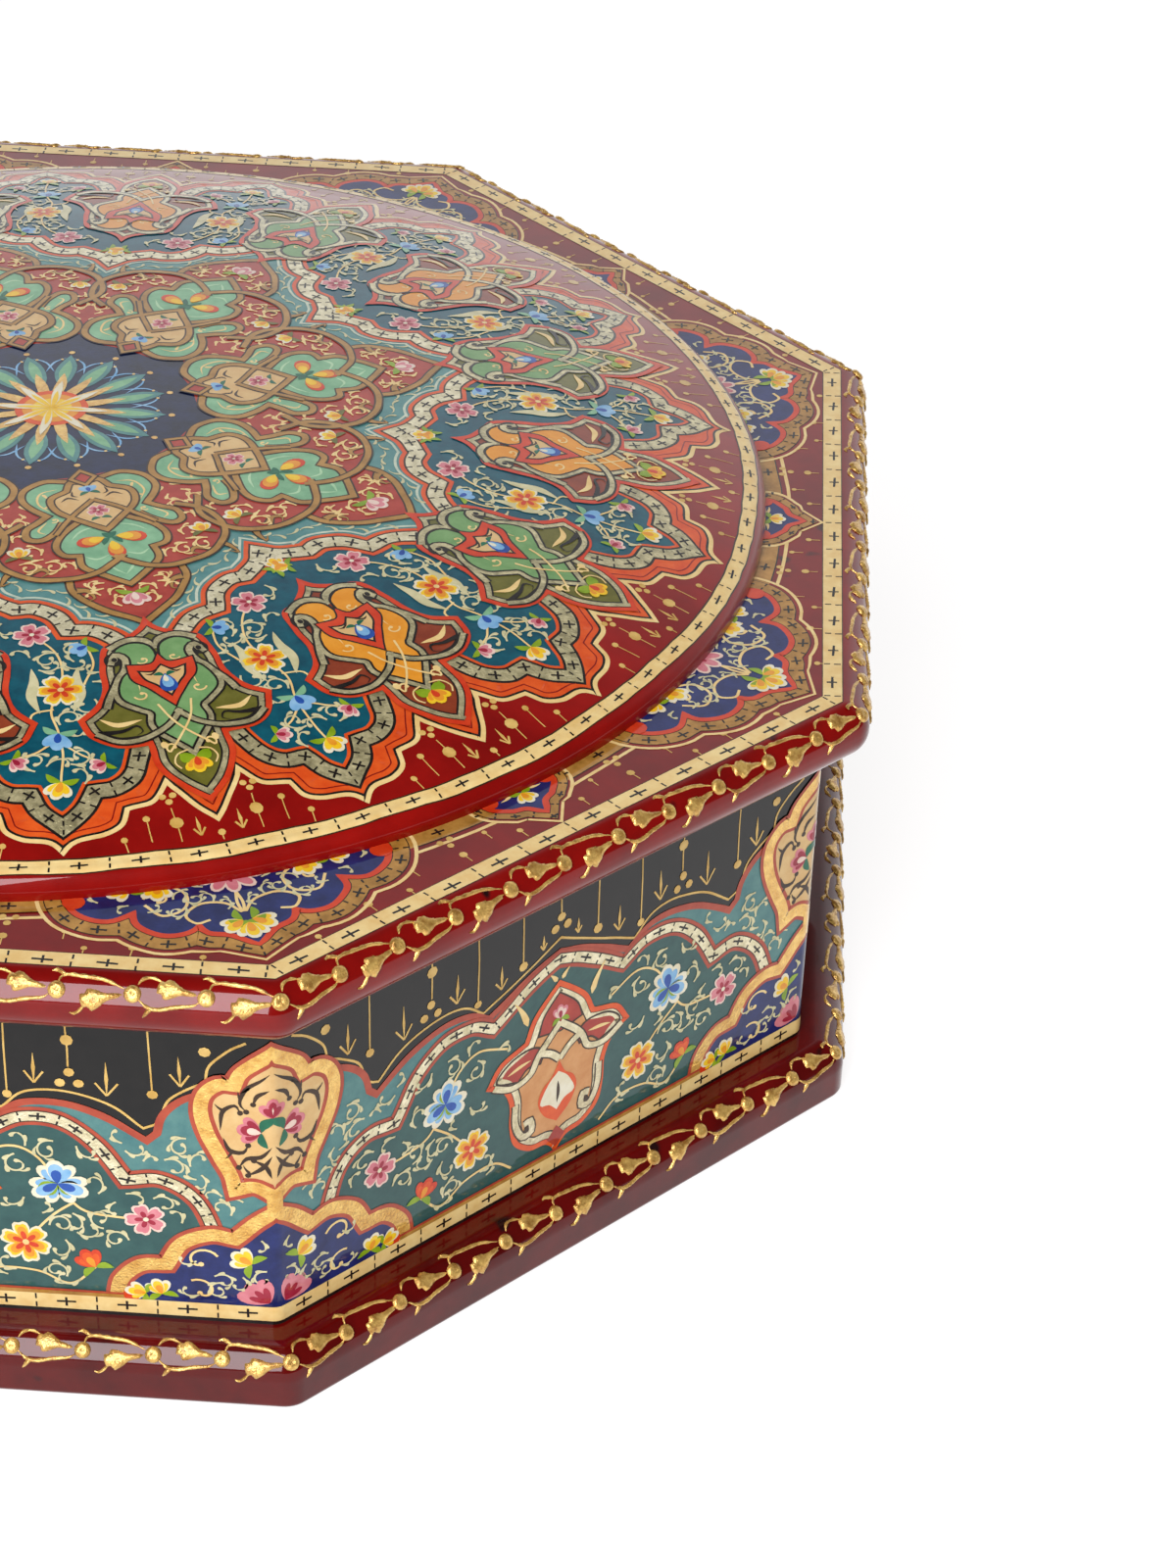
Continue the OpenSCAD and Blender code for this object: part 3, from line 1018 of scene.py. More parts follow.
red_palmette(by_corner)
by_side.twins = True
between = drawn("0.1 22, 2 23, 3 29.4, 2.2 31, 0.1 32")
foliage(by_side, between, 1.5, [], 13, 8, "cream", 1.6)
by_side.twins = False
side_red = full("0 20.6, 2.2 21.6 / 4 30 / 2.4 31.6, 0 33.6")
by_side.fill("coral", side_red, 6)
lane = drawn("0.4 39.2, 3.2 41.4, 5.8 42.5, 8.4 42.3, 10 43.8, 12.4 46, 15 47, 17.8 48.8")
by_side.twins = True
steps = np.arange(0.3, along(lane)[-1] - 1.6, 1.75)
for k, reach in enumerate(steps):
    here, ahead = (point_at(lane, along(lane), reach + step) for step in (0, 0.5))
    way = math.atan2(ahead[1] - here[1], ahead[0] - here[0])
    hand = 1 - 2 * (k % 2)
    bud_leaf(by_side, "frond", here, way - 0.5 * hand, 2.0, 1.7 * hand, 0.62, 6)
print("leaves on turquoise", len(steps))
by_side.twins = False

# %% [markdown]
# The centre is a plain star rosette of this craft's own kind: a gold sunburst on night blue with a
# ring of turquoise leaves and scattered gold dots.

# %% Medallion: centre rosette
medallion.fill("night", round_line(21.0), 6)
rosette = Canvas("medallion_rosette", on_disc, copies=PAIRS)
rosette.fill("turquoise", moved(leaf(9.0, 2.7), (0, 5.6)), 8)
rosette.fill("mint", moved(leaf(6.6, 1.5), (0, 6.6)), 9)
rosette.fill("gold_leaf", moved(leaf(8.4, 1.5), (0, 1.2)), 10)
rosette.dot("gold_leaf", (0, 15.3), 0.42, 8)
rosette.twins = True
rosette.dot("cream", (1.0, 13.4), 0.22, 8)
rosette.brush("sky", "0.5 13.9, 1.9 12.4, 2.5 9.6", 0.3, 8, "leaf")
medallion.fill("vermilion", round_line(4.6), 11)
medallion.fill("orange", round_line(3.7), 12)
medallion.fill("yellow", round_line(2.5), 13)
star = Canvas("medallion_star", on_disc)
star.fill("ivory", moved(leaf(7.2, 1.2), (0, 0)), 14)
star.fill("yellow", moved(leaf(4.6, 0.7), (0, 0)), 15)

# %% [markdown]
# Gold drops hang from the cusps over the red rim, and a cream ring with black crosses closes it.
# One cross or one group of drops is drawn, and Geometry Nodes set its copies round the ring.

# %% Medallion: rim and cream ring
RING_CROSSES = 88
RING_STEPS = (87.5, 87.95, 88.3, 88.6, 88.85, 89.05, 89.25)
AROUND = 288
rim = Canvas("medallion_rim", on_disc, copies=PAIRS)


def upright(x, *heights):
    """The points of an upright line."""
    return np.array([(x, height) for height in heights])


def drop_line(c, x, top, bead, bottom, radius, level):
    """A thin gold line with a bead on it."""
    for start, end in ((top, bead - radius), (bead + radius, bottom)):
        if end - start > 0.3:
            c.brush("drop_gold", upright(x, start, (start + end) / 2, end), 0.14, level)
    c.dot("drop_gold", (x, bead), radius, level)


def sprig(c, x, top, length, level):
    """A small arrow: a stem with two barbs."""
    c.brush("drop_gold", upright(x, top, top + length / 2, top + length), 0.42, level, "leaf")
    for side in (-1, 1):
        barb = [(x, top + length), (x + side * 0.5 * abs(length) * 0.5, top + length * 0.62)]
        c.brush("drop_gold", np.array(barb), 0.24, level)


def three_dots(c, x, y, step, radius, level):
    """Two dots side by side and a third above them."""
    for dx, dy in ((-step, 0), (step, 0), (0, step * 1.5)):
        c.dot("drop_gold", (x + dx, y + dy), radius, level)


rim.twins = True
three_dots(rim, 4.5, 79.9, 0.56, 0.42, 2)
drop_line(rim, 4.5, 81.6, 83.7, 86.4, 0.78, 2)
drop_line(rim, 7.6, 82.2, 82.6, 85.9, 0.42, 2)
sprig(rim, 2.3, 83.4, 2.6, 2)
drop_line(rim, 10.4, 84.6, 84.9, 86.6, 0.4, 2)
rim.twins = False
drop_line(rim, 0, 85.4, 86.0, 87.0, 0.44, 2)


def circle_line(radius):
    """A circle round the middle of the lid."""
    angles = TURN * np.arange(AROUND) / AROUND
    return radius * np.stack([np.sin(angles), np.cos(angles)], 1)


for inner, outer in zip(RING_STEPS, RING_STEPS[1:]):
    medallion.strip("cream", circle_line(inner), circle_line(outer), 2, closed=True)
for inner, outer in ((87.3, 87.5), (89.25, 89.4)):
    medallion.strip("umber", circle_line(inner), circle_line(outer), 2, closed=True)
ring_cross = Canvas("medallion_ring_crosses", on_disc, copies=RING_CROSSES)
ring_cross.brush("black", points_in("-0.95 88.4, 0 88.35, 0.95 88.3"), 0.26, 4)
ring_cross.brush("black", points_in("0.05 87.85, 0 88.85"), 0.26, 4)
for start, end in ((87.6, 88.1), (88.5, 89.1)):
    ring_cross.brush("black", turned(upright(0, start, end), TURN / RING_CROSSES / 2), 0.22, 4)

# %% [markdown]
# The lid's flat border. A gold leaf band with crosses runs round the foot of the medallion. It widens
# into a large indigo cartouche at each corner and a small one in the middle of each side.

# %% Lid border
CREAM_BAND = (97.9, 100.15)
BAND_CROSSES = 12
OUTER_RING = 91.4
border = Canvas("border", on_lid, copies=1)
border_corner = Canvas("border_corners", on_lid, turn=HALF_TURN)
border_side = Canvas("border_sides", on_lid)
border.band("cream", circle_line(93.5), -0.22, 0.22, 1)
border.band("black", circle_line(OUTER_RING), -1.3, 1.3, 2)
border.band("bronze", circle_line(OUTER_RING), -1.15, 1.15, 3)


def cartouche_edge(c, edge, gold, gap, level):
    """Scarlet line, gold band with crosses, a strip of ground and a cream line round a cartouche."""
    tip = edge[:, 1].max()

    def outwards(distance):
        line = beside(edge, -distance)
        line[:, 1] = np.where(line[:, 1] > tip, tip + (line[:, 1] - tip) * 0.6, line[:, 1])
        return line

    rows = (
        ("scarlet", 0, 0.75, 5),
        ("black", 0.7, 1.02 + gold, 3),
        ("bronze", 0.85, 0.9 + gold, 4),
        ("maroon", 0.9 + gold, 0.9 + gold + gap, 1),
        ("cream", 0.9 + gold + gap, 1.32 + gold + gap, 2),
    )
    for colour, near, far, rise in rows:
        c.strip(colour, outwards(near), outwards(far), level + rise)
    crosses(c, "black", outwards(0.9 + gold / 2), 4.1, gold, level + 6, bar=0.9 if gold > 1.2 else 0.6)


corner_edge = mirrored(drawn(
    "-16.2 87.6, -17.3 89, -16.6 91.7, -14.2 93.5, -11 92.7 / -11.2 95.2, -9.2 97.5, -6.8 97.9, -5 96.9"
    " / -4.3 98.7, -2.2 99.7, 0 102"
))
border_corner.fill("indigo", np.vstack([corner_edge, [(10.0, 86.0), (-10.0, 86.0)]]), 6)
cartouche_edge(border_corner, corner_edge[::-1], 1.7, 0.55, 1)
border_corner.twins = True
border_corner.dot("scarlet", (16.9, 89.7), 1.25, 10)
tulip(border_corner, (8.0, 89.3), 2.6, -0.2, FIRE_TULIP, 9)
tulip(border_corner, (11.0, 88.9), 2.4, -1.2, FIRE_TULIP, 9)
tulip(border_corner, (0.5, 97.9), 2.6, -0.95, FIRE_TULIP, 9)
border_corner.brush("cream", "0.2 96.4, 1.6 94.4, 4.2 93.8, 6.2 95.2, 5.4 97, 3.8 96.8", 0.36, 8)
curl(border_corner, "cream", (9.9, 91.2), 1.6, -0.4, -1, 8, 0.3)
curl(border_corner, "cream", (13.4, 89.4), 1.0, 0.4, 1, 8, 0.26)
border_corner.brush("cream", "7.4 89.2, 5.4 91.4, 6 94, 8.6 94.6, 10 92.2", 0.36, 8)
border_corner.brush("cream", "0 92.6, 0.3 94.6, 0.1 96.4", 0.34, 8)
border_corner.twins = False
for lean in (-1.25, -0.62, 0, 0.62, 1.25):
    border_corner.fill("blush", moved(petal(3.9, 1.7), (0, 88.9), lean), 9)
    border_corner.fill("rose", moved(petal(3.5, 1.2), (0, 88.9), lean), 10)
    border_corner.fill("crimson", moved(petal(2.0, 0.5), (0, 88.9), lean), 11)
tulip(border_corner, (0, 98.4), 2.7, 0, FIRE_TULIP, 10)
border_corner.twins = True
taken_corner = points_in("9 91 1.8, 12.4 89.6 1.6, 1.2 99.4 2.4, 4.2 95.6 1.3, 0 91 2.6")
corner_region = points_in(
    "0.6 92, 4.6 88.6, 13 87.6, 16 89.4, 13.4 92.2, 10.6 92.6, 9.6 95.2, 5.4 97.2, 2 99.2, 0.6 100.8"
)
foliage(border_corner, corner_region, 1.5, taken_corner, 11, 9, size=1.5)
border_corner.twins = False

side_edge = mirrored(drawn("-4.4 88.4, -4.3 91, -2.6 92.7 / -1.1 93.3, 0 94.9"))
border_side.fill("indigo", np.vstack([side_edge, [(2.0, 87.6), (-2.0, 87.6)]]), 6)
cartouche_edge(border_side, side_edge[::-1], 0.95, 0.35, 1)
border_side.twins = True
border_side.dot("scarlet", (4.1, 90.2), 1.15, 9)
comma(border_side, "cream", (1.2, 90.6), 1.6, -1.0, 0.4, 9)
border_side.twins = False
tulip(border_side, (0, 91.0), 2.0, 0, FIRE_TULIP, 9)
ring_crosses = Canvas("border_ring_crosses", on_lid, copies=96)
ring_crosses.brush("black", points_in("-0.85 91.4, 0.85 91.45"), 0.3, 4)
ring_crosses.brush("black", upright(0, 90.8, 92.0), 0.3, 4)

border_side.twins = True
three_dots(border_side, 12.4, 92.4, 0.7, 0.42, 2)
drops = points_in(
    "7.9 93.9 0.34, 12.4 95.6 0.5, 18.6 94.2 0.38, 4.6 96 0.38, 26 96.2 0.5, 33.6 97.2 0.4, 21 96.8 0.36"
)
for x, out, size in drops:
    border_side.dot("drop_gold", (x, out), size, 2)
    tail = upright(x, out + size, out + size + 0.5, out + size + 1.0)
    border_side.brush("drop_gold", tail, 0.14, 2)
border_side.twins = False


def octagon_line(apothem):
    """One side of an octagon, corner to corner."""
    half = apothem * math.tan(HALF_TURN)
    return np.array([(-half, apothem), (half, apothem)])


def cross_row(c, middle, half, bar, post, tick, ticks, level):
    """Crosses along a straight band, with broken ticks between.

    A cross has a bar and a post, each given as (reach, slant, width), and a tick is given as
    (squeeze of the pitch, slant, width).
    """
    pitch = 2 * half / BAND_CROSSES
    for k in range(BAND_CROSSES):
        x = (k + 0.5 - BAND_CROSSES / 2) * pitch
        c.brush("black", np.array([(x - bar[0], middle), (x + bar[0], middle + bar[1])]), bar[2], level)
        upwards = np.array([(x, middle - post[0]), (x + post[1], middle + post[0])])
        c.brush("black", upwards, post[2], level)
    squeeze, slant, width = tick
    for k in ticks:
        x = (k - BAND_CROSSES / 2) * pitch * squeeze
        for near, far in ((-1.0, -0.25), (0.2, 1.0)):
            c.brush("black", np.array([(x, middle + near), (x + slant, middle + far)]), width, level)


for colour, spare, level in (("cream", 0, 3), ("umber", 0.12, 2)):
    edges = octagon_line(CREAM_BAND[0] - spare), octagon_line(CREAM_BAND[1] + spare)
    border_side.strip(colour, *edges, level)
middle = sum(CREAM_BAND) / 2
lines = (1.15, 0.08, 0.3), (0.62, 0.05, 0.28), (0.985, 0.06, 0.22)
cross_row(border_side, middle, octagon_line(middle)[1][0], *lines, range(BAND_CROSSES + 1), 4)

# %% [markdown]
# The walls. A charcoal sky with gold drops lies over a turquoise field. Each wall has a wide teal arch
# with a lily palmette, and each upright corner carries a beige shield above an indigo cartouche, half
# on either wall.

# %% Walls: grounds and arches
FOOT = BASE_TOP
CROWN = LID_UNDER
FOOT_BAND = (FOOT + 0.5, FOOT + 2.6)
FIELD_FOOT = 9.0
corner_folds = [ROUND_FROM + share * (HALF_WALL - ROUND_FROM) for share in (0, 0.33, 0.66)]
walls = Canvas("walls", on_wall, folds=[side * fold for side in (-1, 1) for fold in corner_folds])


def field_under(line):
    """The closed outline between a line across the wall and the wall's foot."""
    return np.vstack([line, [(line[-1][0], FIELD_FOOT), (line[0][0], FIELD_FOOT)]])


sky_half = drawn(
    "0 40, 4.6 38.4, 10.6 35.4 / 13.6 37.3, 17.8 37.5, 22.4 36, 26.9 33.1 / 28 34.2 / 28.6 36.6, "
    "30.6 38.8, 33.2 40.2"
)
field_line = mirrored(flipped(np.vstack([sky_half, [(HALF_WALL, 41.0)]])))
walls.fill("wall_turquoise", field_under(field_line), 2)
walls.band("brick", mirrored(flipped(sky_half)), -0.45, 0.45, 4, closed=False)
gold_half = drawn(
    "0 41.9, 5.2 39.4, 11.4 36.6 / 14.2 38.9, 18.4 39.2, 23.2 37.5, 26.6 34.8 / 28.2 35.8, 29.2 38.6, "
    "31.2 40.4, 33.4 41.6 / 34 44, 36 46.2, 38 47.4"
)
walls.band("drop_gold", mirrored(flipped(gold_half)), -0.15, 0.15, 3, closed=False)

arch_line = mirrored(flipped(drawn(
    "0 39, 4.6 37, 9.9 33.6 / 13.2 35.4, 17.4 35.2, 21.4 32.2, 24.2 27.5 / 28.2 27.9, 31.8 25.2, "
    "34.3 19"
)))
walls.fill("slate_teal", field_under(arch_line), 5)
walls.band("brick", arch_line, -1.25, 1.25, 6, closed=False)
walls.band("umber", arch_line, -0.78, 0.78, 7, closed=False)
walls.band("pale_leaf", arch_line, -0.64, 0.64, 8, closed=False)
crosses(walls, "black", arch_line, 4.4, 1.3, 9, bar=0.95)

ends = np.array([(-23.4, FOOT_BAND[1]), (23.4, FOOT_BAND[1])])
for colour, low, high in (("bronze", 0, 0.5), ("brick", 0.5, 0.85)):
    walls.strip(colour, ends + (0, low), ends + (0, high), 13)


def across_wall(count):
    """Places along a wall from corner to corner, with so many points on each rounded corner."""
    ends = np.linspace(-HALF_WALL, -ROUND_FROM, count), np.linspace(ROUND_FROM, HALF_WALL, count)
    return np.concatenate(ends)


def wall_strip(c, colour, low, high, level):
    """A level band along the whole wall and round its corners."""
    x = across_wall(5)
    c.strip(colour, *(np.stack([x, np.full(len(x), height)], 1) for height in (low, high)), level)


wall_strip(walls, "cream", *FOOT_BAND, 14)
# The black strip below the cream foot band is the dark joint where the wall meets the base, painted
# darker for the shadow in that gap: partly painted shade.
wall_strip(walls, "black", FOOT, FOOT_BAND[0], 14)
lines = (1.1, 0.06, 0.28), (0.65, 0, 0.28), (1.0, 0, 0.2)
cross_row(walls, sum(FOOT_BAND) / 2, HALF_WALL, *lines, range(1, BAND_CROSSES), 15)

# %% [markdown]
# Gold drops hang in the charcoal sky above the arches. On the real box each is a touch of a loaded
# brush on a hairline, so here each is a dot on a thin strip.

# %% Walls: gold drops on charcoal
walls.twins = True
for x, bead, radius in ((5.6, 40.6, 0.65), (12.2, 38.4, 0.55), (27.6, 39.4, 0.62)):
    walls.brush("drop_gold", upright(x, CROWN - 1.5, (CROWN + bead) / 2, bead), 0.2, 3)
    walls.dot("drop_gold", (x, bead), radius, 4)
sprigs = points_in("8.9 42.2 -3.4, 15.2 44.2 -4, 22.8 43.6 -4.8, 30.6 45 -4.2, 2.6 43.4 -2")
for x, top, length in sprigs:
    sprig(walls, x, top, length, 3)
walls.dot("drop_gold", (18.8, 46.2), 0.72, 4)
walls.brush("drop_gold", upright(18.8, CROWN, 45.0, 42.6), 0.2, 3)
three_dots(walls, 18.9, 40.4, 0.98, 0.58, 4)
walls.dot("drop_gold", (33.6, 45.9), 0.66, 4)
walls.twins = False
three_dots(walls, 0, 43.4, 0.9, 0.6, 4)
walls.brush("drop_gold", upright(0, CROWN, 47.0, 45.2), 0.2, 3)

# %% [markdown]
# The shields and cartouches fold round the upright corners. Each wall gets one half of them. Their gold
# border is worked out across both walls at once, so that the halves meet without a gap.

# %% Walls: shields and indigo cartouches at the corners
def gold_border(c, line, level, width):
    """A gold band between two brick red lines, mirrored round the upright corner to meet its twin."""
    across = np.stack([2 * HALF_WALL - line[:, 0], line[:, 1]], 1)[::-1]
    both = np.vstack([across[:-1], line])
    closed = bool(abs(line[-1][0] - HALF_WALL) < 1e-6)
    both = both[:-1] if closed else both
    lanes = np.linspace(-width, width, 5)
    rows = [("brick", -width - 0.5, -width + 0.05), ("brick", width - 0.05, width + 0.5)]
    for colour, near, far in rows + [("gold_leaf", *pair) for pair in zip(lanes, lanes[1:])]:
        edges = []
        for distance in (near, far):
            edge = beside(both, distance, closed)
            edge = np.vstack([edge[len(line) - 1 :], edge[:1]]) if closed else edge[len(line) - 1 :]
            edges.append(finer(np.minimum(edge, (HALF_WALL, 99))))
        c.strip(colour, *edges, level + (colour == "gold_leaf"))


def finer(line):
    """The same line with three more points on each step."""
    steps = np.arange(4 * len(line) - 3) / 4
    return np.stack([np.interp(steps, np.arange(len(line)), line[:, i]) for i in (0, 1)], 1)


def to_corner(points):
    """Points given from the upright corner (distance from it, height), as wall points."""
    return np.array([(HALF_WALL - x, y) for x, y in points])


def corner_drawn(text):
    """A drawn line whose points are given from the upright corner."""
    return to_corner(drawn(text))


walls.twins = True
shield = corner_drawn(
    "0 46.2, 1.9 44.7, 3.4 43.2, 4.1 41.5 / 5.8 41.5, 7.5 40, 8 37.6, 7.3 34.6, 5.9 31.6, 4.8 29.2, "
    "4.4 27 / 2.2 27.6, 0 26.4"
)
walls.fill("beige", shield, 9)
gold_border(walls, shield, 10, 0.8)
indigo = corner_drawn(
    "0 24.2, 2.2 22.4, 4.6 19.9 / 7.4 20.3, 10.4 18.8, 12.2 15.7 / 15.2 15.3, 17.4 13, 18.1 9.6"
)
walls.fill("indigo", np.vstack([indigo, to_corner([(9.0, 9.6), (0, 9.6)])]), 9)
gold_border(walls, indigo, 10, 0.85)
for inner, outer in ((0, 0.3), (0.3, 0.6), (0.6, 0.9)):
    edges = (to_corner([(x, 26.8), (x, 23.8)]) for x in (inner, outer))
    walls.strip("gold_leaf", *edges, 12)
for x, y, size, turn in ((2.8, 16.4, 2.5, 1.0), (13.0, 11.0, 2.3, 0.3), (14.8, 11.0, 2.2, 1.4)):
    tulip(walls, (HALF_WALL - x, y), size, turn, FIRE_TULIP, 11)
curl(walls, "cream", (HALF_WALL - 6.6, 17.2), 2.0, 0.4, 1, 11, 0.3)
curl(walls, "cream", (HALF_WALL - 9.6, 13.4), 1.9, 2.2, -1, 11, 0.3)
walls.dot("scarlet", (HALF_WALL - 16.4, 10.6), 0.95, 12)
indigo_region = to_corner(
    points_in("1 20.4, 4.2 18.9, 8.8 18.2, 11.2 15.2, 15 13.8, 15.8 11.2, 8 10.6, 1 13.4")
)
indigo_taken = points_in("3.4 17.4 1.8, 13.6 12 2.2, 6.6 17.2 1.6, 9.6 13.4 1.6")
indigo_taken[:, 0] = HALF_WALL - indigo_taken[:, 0]
foliage(walls, indigo_region, 1.7, indigo_taken, 21, 11, size=1.6)
at = (HALF_WALL - 0.9, 10.6)
for lean in (0.2, 0.75, 1.3):
    walls.fill("rose", moved(petal(3.8, 1.9), at, lean), 11)
    walls.fill("crimson", moved(petal(2.4, 0.8), at, lean), 12)
for x, y, size, turn in ((2.7, 35.2, 2.6, 1.45), (0.75, 37.0, 2.7, 0.25)):
    tulip(walls, (HALF_WALL - x + 1.4, y), size, turn, ("rose", "crimson", "blush", "fir_green"), 11)
shield_scrolls = (
    "0.2 43.4, 1.2 42.4, 2.9 41, 3.6 39, 2.9 37.8",
    "0.3 41, 1.6 40.2, 2.1 38.9",
    "5.9 35.2, 5.6 37.6, 4.2 38.6, 3.6 37.6",
    "5.6 34.2, 4.9 32.6, 3.4 32.4, 2.8 33.4",
    "0.2 33.2, 1.4 31.9, 3 31.6, 3.9 30.4",
    "0.2 32, 1.3 30.4, 2.9 29.3",
    "0.3 29, 0.9 30.6, 2.2 31.4",
)
for scroll in shield_scrolls:
    line = corner_drawn(scroll)
    walls.brush("umber", line, 0.55, 11, "leaf")
    walls.dot("umber", line[-1], 0.36, 11)
for x, y, turn in points_in("2.4 41.4 2.6, 5.4 37.8 1.2, 4.6 32.6 2.9, 2.6 29.6 1, 3.4 39.4 0.6"):
    comma(walls, "umber", (HALF_WALL - x, y), 1.3, turn, 0.4, 11)
walls.twins = False

# %% [markdown]
# In the arch stands a lily palmette, built up like those of the lid, among blossoms on thin stems.
# Leaves then fill what is left.

# %% Walls: lily palmette and flowers
lily = full(
    "0 10.6, 1.6 12.2, 4 12.6, 6.4 14.4, 7.2 17.4, 7.3 21, 8.6 23.8, 11 25.2 / 9 28, 5.4 29.4 / 4 32.4, "
    "0 36"
)
walls.fill("tan", lily, 9)
walls.band("vermilion", lily, 0, 0.7, 11)
walls.band("umber", lily, 0.65, 1.85, 10)
walls.band("pale_leaf", lily, 0.8, 1.65, 11)
bud = full("0 28.6, 3.4 29.2 / 2.6 31.6, 0 34.1")
edged(walls, "coral", bud, "umber", -0.15, 0.1, 11)
tulip(walls, (0, 30.4), 1.8, 0, ("rose", "blush", "crimson", "leaf_green"), 12)
walls.twins = True
wing = drawn("3 25.2, 2.6 26.8, 4.4 28, 7.4 27.6, 9.4 25.6, 6.2 24 / 4.8 25.4, 3 25.2")[:-1]
edged(walls, "coral", wing, "umber", -0.16, 0.12, 11)
walls.brush("cream", "4.4 26.4, 6.2 26.2, 7.9 25.8", 0.5, 12, "leaf")
for line in (
    "9.8 25, 7 23.5, 4.4 24.2, 3.2 26.6, 0 29.9",
    "3.3 26.8, 1.4 25.8, 0 24.3",
    "6.4 20.6, 6.3 17.4, 5.2 15.2, 3.8 15.4, 4 16.9, 5 16.8",
):
    two_tone(walls, line, ("umber", 1.25), ("pale_leaf", 0.85), 12)
walls.dot("umber", (4.6, 15.9), 0.42, 14)
walls.twins = False
flame = full("0 14.9, 2 16.6, 2.9 18.8, 2.3 20.8, 1 22, 0 24")
walls.fill("vermilion", flame, 12)
inner_flame = full("0 16.6, 1.2 17.8, 2.6 18.4, 1.5 21, 0 22.4")
walls.fill("ivory", inner_flame, 13)
walls.brush("umber", "0 17.6, 0.15 19.2, 0 21", 0.5, 14, "leaf")
walls.fill("coral", full("0 11.2, 1.4 12.7 / 0 14.2"), 12)
walls.twins = True
blossom(walls, (12.9, 17.6), 3.0, 6, 0.2, YELLOW_BLOSSOM, 10)
blossom(walls, (26.3, 21.9), 2.4, 5, 0.4, PINK_BLOSSOM, 10)
for turn in (0.1, 2.2, -2.0):
    tulip(walls, (17.0, 26.4), 3.2, turn, ("ivory", "sky", "cobalt", "leaf_green"), 10)
tulip(walls, (20.4, 14.6), 2.5, 0.5, ("scarlet", "vermilion", "orange", "leaf_green"), 10)
comma(walls, "cream", (5.0, 31.6), 4.4, -0.25, 0.2, 10, 1.1)
comma(walls, "cream", (0.4, 36.0), 1.6, -0.5, 0.2, 10, 0.8)
for stem in (
    "8 29.8, 12 31.4, 15 30, 17 26.4",
    "17 26.4, 19.4 22.8, 23 22, 26.3 21.9",
    "18.6 23.6, 15.8 21.2, 12.9 17.6",
    "6.8 11.6, 9.6 13.6, 14 13.4, 17.6 11.8, 20.4 14.6",
):
    walls.brush("cream", stem, 0.3, 9)
arch_region = drawn(
    "8 11.4, 22 11.4, 21 15.4, 25 17.4, 30 20.6, 31.6 21.4 / 30 25, 27 26.4, 23.6 26.2 / 21 31, "
    "17.4 33.6, 13.2 33.8, 9.8 31.8 / 5 35.2, 3.4 35.4 / 6.4 31, 12.2 26, 8.6 20.4, 8.4 15, 8 11.4"
)[:-1]
arch_taken = points_in("12.9 17.6 3.2, 26.3 21.9 2.6, 17 26.4 3.4, 20.2 15.6 1.8, 4.6 33.4 1.6")
print("leaves on the arch", foliage(walls, arch_region, 1.6, arch_taken, 8, 10, size=1.8))
field_region = drawn(
    "14 36.4, 18 36.4, 24 34, 27.4 31.6 / 30.4 35.6, 31.4 37.2, 32.4 33.6, 34.4 29, 34.8 26.6"
    " / 38.6 25.2, 35 21.2 / 32.6 26, 28.4 29.4, 25.2 29.2 / 21.8 34, 17.6 36.6, 14 36.4"
)[:-1]
print("leaves on the field", foliage(walls, field_region, 1.4, [], 9, 6, size=1.7))
walls.twins = False

# %% [markdown]
# One Geometry Nodes tree sets every repeat: it takes what is painted on one part and turns copies of
# it round the middle of the box. The eight sides, the sixteen palmettes and the small crosses of the
# rings all come from it.

# %% Geometry Nodes: turned copies
def new_tree(name, inputs):
    """A node tree with the named inputs, and the outputs that hand them in."""
    tree = bpy.data.node_groups.new(name, "GeometryNodeTree")
    for label, kind, value in [("Geometry", "Geometry", None), *inputs, ("Material", "Material", None)]:
        socket = tree.interface.new_socket(label, in_out="INPUT", socket_type="NodeSocket" + kind)
        if value is not None:
            socket.default_value = value
    tree.interface.new_socket("Geometry", in_out="OUTPUT", socket_type="NodeSocketGeometry")
    return tree, tree.nodes.new("NodeGroupInput").outputs


def set_copies(tree, given, points, angle):
    """Copies of what comes in, one on each point, turned and made real in the given material."""
    spin = wired(tree, "ShaderNodeCombineXYZ", {"Z": angle})
    sockets = {"Points": points.outputs[0], "Instance": given["Geometry"], "Rotation": spin.outputs[0]}
    copies = wired(tree, "GeometryNodeInstanceOnPoints", sockets)
    real = wired(tree, "GeometryNodeRealizeInstances", {"Geometry": copies.outputs[0]})
    sockets = {"Geometry": real.outputs[0], "Material": given["Material"]}
    coloured = wired(tree, "GeometryNodeSetMaterial", sockets)
    wired(tree, "NodeGroupOutput", {0: coloured.outputs[0]})
    return tree


def turned_copies():
    """Copies of what comes in, turned about the box's axis in even steps."""
    tree, given = new_tree("turned_copies", [("Copies", "Int", 8), ("Turn", "Float", 0.0)])
    spots = wired(tree, "GeometryNodePoints", {"Count": given["Copies"]})
    number = wired(tree, "GeometryNodeInputIndex", {}).outputs[0]
    step = maths(tree, "DIVIDE", TURN, given["Copies"])
    angle = maths(tree, "ADD", maths(tree, "MULTIPLY", number, step), given["Turn"])
    return set_copies(tree, given, spots, angle)


COPIES = turned_copies()


def grown(mesh, tree, **values):
    """What a node tree makes of a mesh, as a plain mesh in the same frame."""
    source = bpy.data.objects.new("source", mesh)
    bpy.context.collection.objects.link(source)
    modifier = source.modifiers.new("nodes", "NODES")
    modifier.node_group = tree
    sockets = {s.name: s.identifier for s in tree.interface.items_tree if s.in_out == "INPUT"}
    for label, value in values.items():
        modifier[sockets[label.replace("_", " ")]] = value
    graph = bpy.context.evaluated_depsgraph_get()
    made = bpy.data.meshes.new_from_object(source.evaluated_get(graph), depsgraph=graph)
    bpy.data.objects.remove(source)
    bpy.data.meshes.remove(mesh)
    return made


